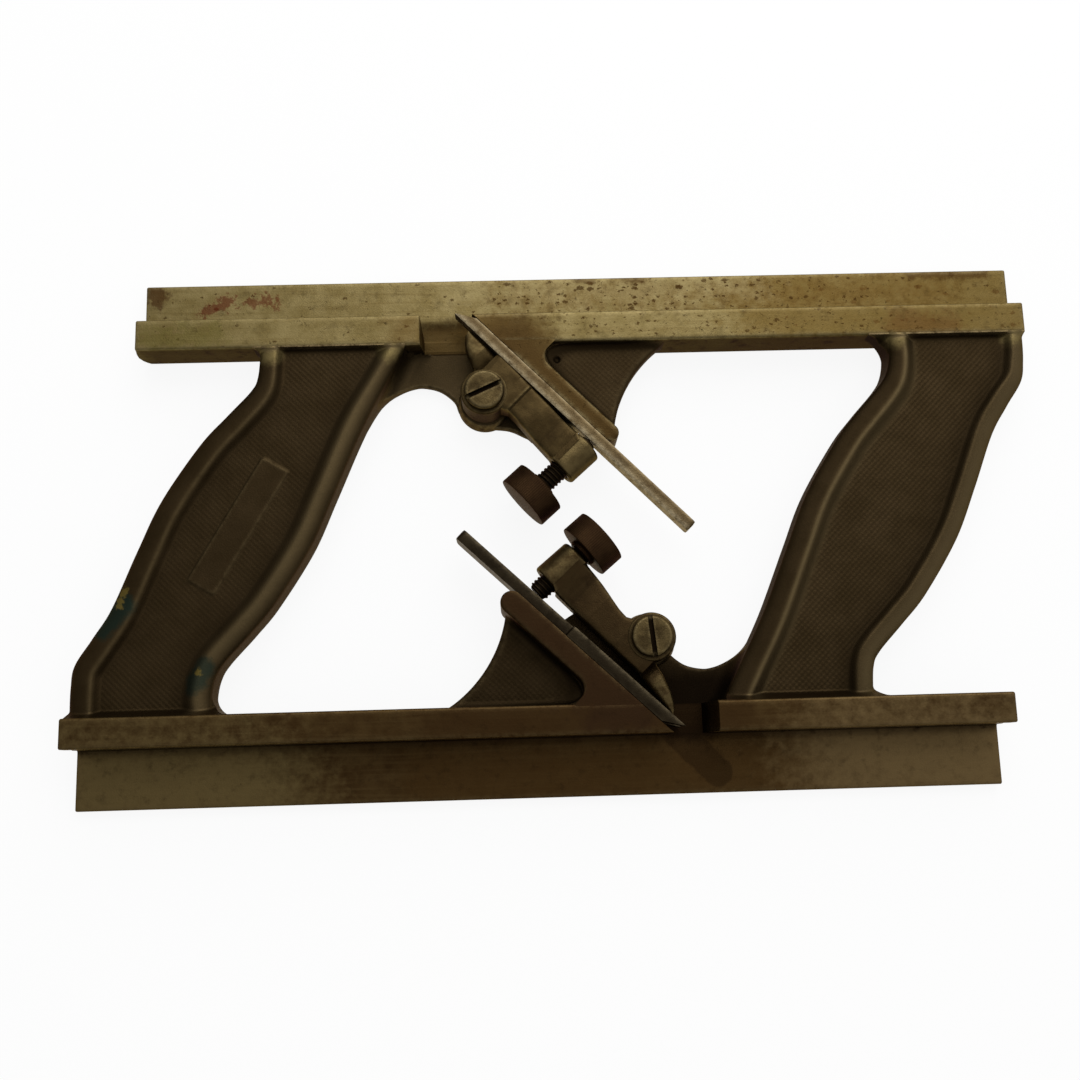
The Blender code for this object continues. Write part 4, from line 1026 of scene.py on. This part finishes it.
# lever frame to part frame: tilted so that the nose rests on the cutter, then set on the pivot
def fromLever(end, points):
    p = turned(points, -end["tilt"]) + np.array([-end["pivotBack"], end["pivotRise"], 0])
    return fromBed(end, p)


# barrel frame to part frame: z along the barrel and screw, away from the cutter
def fromBarrel(end, points):
    p = np.asarray(points, float)
    p = turned(pointsOf(p[..., 0], p[..., 2], -p[..., 1]), -lever["barrelRake"])
    return fromLever(end, p + np.array([*barrelMiddle(), middleHeight]))


def leverPieces(name, end):
    place = {"node": name + "_clamp_lever", "slot": "lever"}
    bore, r, low, high = (lever[k] for k in ("bossBore", "bossRadius", "low", "high"))
    e, boreEdge = lever["bossEdge"], lever["bossBoreEdge"]
    profile, _ = roundedLoop([(bore, low, boreEdge), (r, low, e), (r, high, e), (bore, high, boreEdge)],
                             lever["cell"])
    radius, height = profile[:, :1], profile[:, 1:]
    # rub on the boss's rim; painted shade round the screw head and on the boss's sides
    ringPiece(name + "_lever_boss", profile, lever["count"], lambda p: fromLever(end, p), leverMetal,
              {"rubAndGlint": 0.5 * bell(radius - r + 0.4, 0.5),
               "shadeAndDirt": np.maximum(smoothStep((6.6 - radius) / 0.5), 0.8 * (height < high - 0.8))}, **place)

    half = lever["barrelLength"] / 2
    near, away = -half - end["barrelLonger"], half + end["barrelOut"]
    bore, r, e, boreEdge = (lever[k] for k in ("barrelBore", "barrelRadius", "barrelEdge", "barrelBoreEdge"))
    section = [(bore, near, boreEdge), (r, near, e), (r, away, e), (bore, away, boreEdge)]
    profile, _ = roundedLoop(section, lever["cell"])
    # rub and a painted highlight along the barrel's crest and round its ends, and painted light over it where
    # the end has painted lift
    crest = 0.6 * bell(turnedGrid(profile, lever["count"])[..., 1] + r, 1.5)
    rubAndGlint = np.maximum(bell(half - np.abs(profile[:, 1:]) - 0.4, 0.6), crest)
    ringPiece(name + "_lever_barrel", profile, lever["count"], lambda p: fromBarrel(end, p), leverMetal,
              {"rubAndGlint": rubAndGlint, "paintedLight": lever["barrelPaintedLift"] * end["paintedLift"]}, **place)

    back = np.array(lever["back"] + end["nose"])
    crown = np.array(lever["crown"] + list(zip(end["step"], lever["stepHeights"])) + lever["top"])
    under = np.array(lever["bottom"])
    noseEnd = back[-1, 0]
    a = np.linspace(lever["start"], noseEnd, lever["cells"])
    a = np.concatenate([a, back[:, 0], crown[:, 0], under[:, 0]])
    a = np.unique(a[a <= noseEnd])
    high, top, bottom = np.interp(a, *back.T), np.interp(a, *crown.T), np.interp(a, *under.T)
    high = high + end["barrelOut"] * smoothStep((-a - 9.0) / 16.0)
    # the side by the cutter keeps its distance when the lever rocks
    clear = np.interp(a, (3.0, noseEnd), (end["armGap"], end["noseGap"]))
    clear = clear + lever["rockSlope"] * np.maximum(-a, 0)
    low = cutterTop - end["pivotRise"] + a * math.sin(math.radians(end["tilt"])) + clear
    low = low + lever["barrelSlope"] * np.maximum(lever["barrelSide"] - a, 0)
    high = np.maximum(high, low + lever["leastWide"])
    theta = fullTurn(lever["around"])[None]
    square = np.interp(a, (4.0, 7.0), (0.26, 0.6))[:, None]  # boxy arm, rounder nose
    u, w = (np.sign(c) * np.abs(c) ** square for c in (np.cos(theta), np.sin(theta)))
    y = ((high + low) / 2)[:, None] + ((high - low) / 2)[:, None] * u
    z = ((top + bottom) / 2)[:, None] + ((top - bottom) / 2)[:, None] * w
    rings = pointsOf(a[:, None], y, z)
    # rub and painted glints on the arm's upper edges and over the nose, a painted highlight on the step where
    # the end has painted lift, and a painted shadow in the hollow before the barrel
    rubAndGlint = bell(1 - np.abs(u), 0.12) * (w > 0.5)
    rubAndGlint = np.maximum(rubAndGlint, 6.0 * end["paintedLift"] * bell(a - end["step"][1] - 0.2, 0.35)[:, None] * (w > 0.9))
    rubAndGlint = np.maximum(rubAndGlint, 0.7 * smoothStep((a - 8.0) / 3.0)[:, None] * (w > 0.3))
    shadeAndDirt = 0.5 * bell(a + 23.0, 2.2)[:, None] * (w > 0.5)
    addPiece(name + "_lever_arm", fromLever(end, rings), ringFaces(*y.shape), leverMetal,
             {"rubAndGlint": rubAndGlint, "shadeAndDirt": shadeAndDirt}, **place)


# Thumbscrews: a domed knob with straight knurling round its edge, a hub, and a shank with a helical thread
thumbscrew = {
    "threadRadius": 3.175, "pitch": 1.27, "threadDepth": 0.42, "tipRadius": 2.6, "tipLength": 0.7,
    "tipEdge": 0.4, "knobRadius": 8.6, "knobThick": 7.5, "knobEdge": 0.25, "dome": 0.2, "hubRadius": 4.3,
    "hubHigh": 1.2, "hubEdge": 0.4, "teeth": 84, "knurl": 0.06, "around": 504, "threadAround": 48,
    "perPitch": 8, "threadFrom": 0.4, "threadInto": 0.6,
}


def thumbscrewPieces(name, end):
    s, place = thumbscrew, {"node": name + "_thumbscrew", "slot": "thumbscrew"}
    inner = lever["barrelLength"] / 2 + end["standOff"]
    domeFoot = inner + s["knobThick"] - s["dome"]
    r, e, h = s["knobRadius"], s["knobEdge"], s["hubRadius"]
    turn = np.linspace(0, np.pi / 2, 6)
    domeR = np.linspace(r - e, 0, 14)
    dome = pointsOf(domeR, domeFoot + s["dome"] * np.sqrt(np.maximum(1 - (domeR / r) ** 2, 0)))
    base = domeFoot + s["dome"] * math.sqrt(1 - ((r - e) / r) ** 2)
    lowArc = pointsOf(r - e + e * np.sin(turn), inner + e - e * np.cos(turn))
    flank = pointsOf(r, np.linspace(inner + e, base - e, 12)[1:-1])
    highArc = pointsOf(r - e + e * np.cos(turn), base - e + e * np.sin(turn))
    hubLow = inner - s["hubHigh"]
    hub = np.array([(0, hubLow), (h - s["hubEdge"], hubLow), (h, hubLow + s["hubEdge"]), (h, inner)])
    profile = np.concatenate([hub, lowArc, flank, highArc, dome[1:]])

    # straight knurl: the radius dips between teeth on the flank, and fades out on the rounded edges
    def knurl(angle):
        onFlank = smoothStep((profile[:, :1] - r + 0.9 * e) / (0.6 * e))
        return -s["knurl"] * onFlank * (0.5 - 0.5 * np.cos(angle * s["teeth"])) ** 0.8

    grid = turnedGrid(profile, s["around"], knurl)
    # rub and painted glints on the knurl's teeth and round the dome's edge, painted shade between the teeth
    tooth = 0.5 + 0.5 * np.cos(fullTurn(s["around"]) * s["teeth"])
    onFlank = bell(profile[:, :1] - r, 0.3)
    domeRub = 0.35 * bell(profile[:, :1] - r + e, 0.7) * (profile[:, 1:] > base - e)
    addPiece(name + "_knob", fromBarrel(end, grid), [gridQuads(*grid.shape[:2])], knobMetal,
             {"rubAndGlint": np.maximum(0.25 * onFlank * tooth, domeRub), "shadeAndDirt": 0.35 * onFlank * (1 - tooth)},
             **place)

    # the shank from knob to tip; the tip rests on the cutter
    middle, tilt = barrelMiddle(), math.radians(end["tilt"])
    lean = math.radians(end["tilt"] + lever["barrelRake"])
    height = end["pivotRise"] + (middle[1] * math.cos(tilt) - middle[0] * math.sin(tilt))
    tip = (cutterTop + gap + s["tipRadius"] * math.sin(abs(lean)) - height) / math.cos(lean)
    z = np.arange(tip + s["tipLength"] + s["threadFrom"], inner + s["threadInto"], s["pitch"] / s["perPitch"])
    z = z[:, None]
    angle = fullTurn(s["threadAround"])[None]
    tooth = 1 - np.abs(2 * ((z / s["pitch"] - angle / (2 * np.pi)) % 1.0) - 1)
    radius = s["threadRadius"] - s["threadDepth"] * (1 - smoothStep(tooth * 1.3 - 0.15))
    point, e = s["tipRadius"], s["tipEdge"]
    tipSection = [(0.0, tip), (point - e, tip), (point, tip + e), (point, tip + s["tipLength"])]
    tipGrid = turnedGrid(tipSection, s["threadAround"])
    thread = pointsOf(radius * np.cos(angle), radius * np.sin(angle), z)
    endGrid = turnedGrid([(0.0, z[-1, 0])], s["threadAround"])
    grid = np.concatenate([tipGrid, thread, endGrid])
    # painted shade in the thread's grooves, rub and painted glints on its crests
    shadeAndDirt = np.concatenate([np.zeros(tipGrid.shape[:2]), 1 - tooth, np.zeros(endGrid.shape[:2])])
    addPiece(name + "_thread", fromBarrel(end, grid), [gridQuads(*grid.shape[:2])], threadMetal,
             {"shadeAndDirt": 0.8 * shadeAndDirt, "rubAndGlint": 0.6 * (1 - shadeAndDirt)}, **place)


# Pivot screws: a flat round head with a driver slot, on lines across the slot whose points run along it,
# and a plain shoulder and threaded end below
pivotScrew = {"head": 5.8, "thick": 2.2, "edge": 0.8, "slotWide": 1.4, "slotDeep": 1.5, "seat": 16.64,
              "shoulder": 3.4, "threadRadius": 2.8, "low": 0.45, "shoulderLow": 6.4, "tipEdge": 0.4,
              "across": 46, "along": 60, "count": 64}


def pivotPieces(name, end):
    s, place = pivotScrew, {"node": name + "_pivot_screw", "slot": "pivot_screw", "body": "stock"}
    r, w, seat, head = s["head"], s["slotWide"] / 2, s["seat"], s["seat"] + s["thick"]
    wide = r * np.sin(np.linspace(-np.pi / 2, np.pi / 2, s["across"]))
    wide = wide[np.abs(np.abs(wide) - w) > 0.12]
    walls = [-w - 0.1, -w - 0.01, -w + 0.03, w - 0.03, w + 0.01, w + 0.1]  # lines close to the slot's sides
    u = np.sort(np.concatenate([wide, walls]))[:, None]
    v = np.sin(np.linspace(-np.pi / 2, np.pi / 2, s["along"]))[None]
    x, y = np.broadcast_to(u, (len(u), s["along"])), v * np.sqrt(np.maximum(r * r - u * u, 0))
    away = r - np.hypot(x, y)
    inSlot = np.abs(x) < w
    top = head - fillet(np.maximum(away, 0), s["edge"])
    top = np.where(inSlot, np.minimum(top, head - s["slotDeep"]), top)
    # painted shade in the driver slot; rub and painted glints round the head's edge and beside the slot
    nearSlot = bell(np.abs(x) - w - 0.25, 0.3) * (np.abs(x) > w)
    slabPiece(name + "_pivot_head", x, y, top, np.full(x.shape, seat), screwMetal,
              {"rubAndGlint": np.maximum(bell(away - 0.5, 0.5), 0.7 * nearSlot), "shadeAndDirt": inSlot * 1.3},
              lambda p: fromPivot(end, turned(p, end["slotAngle"] - 90.0)), sharp=30.0, **place)
    t, low, shoulder = s["threadRadius"], s["low"], s["shoulder"]
    profile = [(0, low), (t - s["tipEdge"], low), (t, low + s["tipEdge"]), (t, s["shoulderLow"]),
               (shoulder, s["shoulderLow"] + 0.1), (shoulder, seat + 0.3), (0, seat + 0.3)]
    grid = turnedGrid(profile, s["count"])
    addPiece(name + "_pivot_shank", fromPivot(end, grid), [gridQuads(*grid.shape[:2])], screwMetal, {},
             **place)


for name, end in (("tongue", tongueEnd), ("groove", grooveEnd)):
    leverPieces(name, end)
    thumbscrewPieces(name, end)
    pivotPieces(name, end)
print("levers and screws made")

# Cutters: a plate on the bed, rings across its thickness; the lower rings stand back from the cutting edge
# by the grind's slope. The outline is (x along the bed, z), with the tongue cutter's fork and shoulder.
cutter = {"low": 0.06, "thick": 3.415, "grind": 30.0, "edgeRound": 0.12, "easing": 0.4, "sharpen": 9.0,
          "layers": 8, "cell": 0.7}
tongueCutter = {
    "edge": 1.33, "finish": darkCutter,
    "outline": [(-82.8, 6.64, 1.6), (-40.4, 6.64, 0.6), (-40.4, 3.8, 0.8), (1.33, 3.8, 0.15),
                (1.33, 9.056, 0.12), (-12.7, 9.056, 0.4), (-12.7, 13.819, 0.4), (1.33, 13.819, 0.12),
                (1.33, 19.63, 0.15), (-40.4, 19.63, 0.8), (-40.4, 16.24, 0.6), (-82.8, 16.24, 1.6)],
}
grooveCutter = {
    "edge": 3.68, "finish": paleCutter,
    "outline": [(-91.4, 8.91, 1.0), (3.68, 8.91, 0.15), (3.68, 13.97, 0.15), (-91.4, 13.97, 1.0)],
}


def cutterPiece(name, spec, end):
    edgeAt, thick = spec["edge"], cutter["thick"]
    loop, _ = roundedLoop(spec["outline"], cutter["cell"])
    heel = thick / math.tan(math.radians(cutter["grind"]))
    rise = np.linspace(0, 1, cutter["layers"])[:, None]
    # the corners are eased, but not at the cutting edge
    nearEdge = np.clip((loop[:, 0] - (edgeAt - cutter["sharpen"])) / cutter["sharpen"], 0, 1)[None] ** 4
    eased = fillet(np.minimum(rise, 1 - rise) * thick, cutter["easing"]) / cutter["easing"]
    drawn = cutter["edgeRound"] * eased[..., None] * outwardOf(loop)[None]
    x = loop[None, :, 0] - drawn[..., 0] * (1 - nearEdge)
    z = loop[None, :, 1] - drawn[..., 1]
    # the ground bevel: the lower the layer, the further back its edge
    x = np.minimum(x, edgeAt - heel * (1 - rise))
    y = cutter["low"] + thick * rise
    rubAndGlint = np.broadcast_to(np.maximum(bell(1 - rise, 0.3), 0.5 * bell(rise, 0.12)), x.shape)
    addPiece(name + "_blade", fromBed(end, pointsOf(x, y, z)), ringFaces(*x.shape), spec["finish"],
             {"rubAndGlint": rubAndGlint}, node=name, slot="cutter", sharp=30.0)


cutterPiece("tongue_cutter", tongueCutter, tongueEnd)
cutterPiece("groove_cutter", grooveCutter, grooveEnd)
print("cutters made")

# Studio: a white floor that shows white to the camera and in reflections, and keeps the shadow;
# a large soft lamp beyond the groove rail and a broad even sky
studio = {"floorSize": 6.0, "floorDrop": 0.0004, "white": 0.9, "floorRough": 0.9, "glowShare": 0.9,
          "sky": 0.54, "skyTurn": (0.28, 0.2, 0.2), "skyLeast": 0.05,
          "lampPlace": (0.12, 0.5, 0.5), "lampSize": 0.7, "lampPower": 3.0}


def makeFloor():
    half = studio["floorSize"] / 2
    mesh = bpy.data.meshes.new("floor")
    corners = [(-half, -half), (half, -half), (half, half), (-half, half)]
    mesh.from_pydata([(*c, -studio["floorDrop"]) for c in corners], [], [(0, 1, 2, 3)])
    material = bpy.data.materials.new("white floor")
    material.use_nodes = True
    tree = material.node_tree
    shader = tree.nodes["Principled BSDF"]
    shader.inputs["Base Color"].default_value = (studio["white"],) * 3 + (1,)
    shader.inputs["Roughness"].default_value = studio["floorRough"]
    glow = addNode(tree, "Emission", Strength=1.0)
    path = addNode(tree, "LightPath").outputs
    seen = mathNode("MAXIMUM", path["Is Camera Ray"], path["Is Glossy Ray"])
    seen = mathNode("MAXIMUM", seen, path["Is Transmission Ray"])
    mix = addNode(tree, "MixShader")
    wire((times(seen, studio["glowShare"]), mix.inputs[0]), (shader.outputs[0], mix.inputs[1]),
         (glow.outputs[0], mix.inputs[2]), (mix.outputs[0], tree.nodes["Material Output"].inputs["Surface"]))
    mesh.materials.append(material)
    floor = bpy.data.objects.new("floor", mesh)
    bpy.context.scene.collection.objects.link(floor)


def makeLight():
    world = bpy.data.worlds.new("studio sky")
    world.use_nodes = True
    tree = world.node_tree
    backdrop = tree.nodes["Background"]
    backdrop.inputs["Color"].default_value = white
    # the sky brightens towards the lamp's side and overhead
    direction = addNode(tree, "TexCoord").outputs["Generated"]
    turn = vectorNode("DOT_PRODUCT", direction, studio["skyTurn"])["Value"]
    glow = plus(turn, studio["sky"])
    glow = mathNode("MAXIMUM", glow, studio["skyLeast"])
    seen = addNode(tree, "LightPath").outputs["Is Camera Ray"]
    wire((mathNode("MAXIMUM", seen, glow), backdrop.inputs["Strength"]))
    bpy.context.scene.world = world
    lamp = bpy.data.lights.new("soft lamp", "AREA")
    lamp.shape, lamp.size, lamp.energy = "SQUARE", studio["lampSize"], studio["lampPower"]
    holder = bpy.data.objects.new("soft lamp", lamp)
    holder.location = studio["lampPlace"]
    holder.rotation_euler = (-Vector(studio["lampPlace"])).to_track_quat("-Z", "Y").to_euler()
    bpy.context.scene.collection.objects.link(holder)


# camera over the part, tipped a little, as found from the rails' corners
camera = {"place": (-0.015996, -0.071321, 0.369902), "lens": 41.667, "sensor": 36.0,
          "rows": ((0.99936517, -0.02944095, 0.02006202), (0.0252885, 0.98285747, 0.18262442),
                   (-0.02509474, -0.18200115, 0.98297804))}


def makeCamera():
    data = bpy.data.cameras.new("camera")
    data.lens, data.sensor_width = camera["lens"], camera["sensor"]
    holder = bpy.data.objects.new("camera", data)
    holder.matrix_world = Matrix.Translation(camera["place"]) @ Matrix(camera["rows"]).transposed().to_4x4()
    bpy.context.scene.collection.objects.link(holder)
    bpy.context.scene.camera = holder


makeFloor()
makeLight()
makeCamera()
bpy.context.scene.view_settings.view_transform = "Standard"
print("studio made")
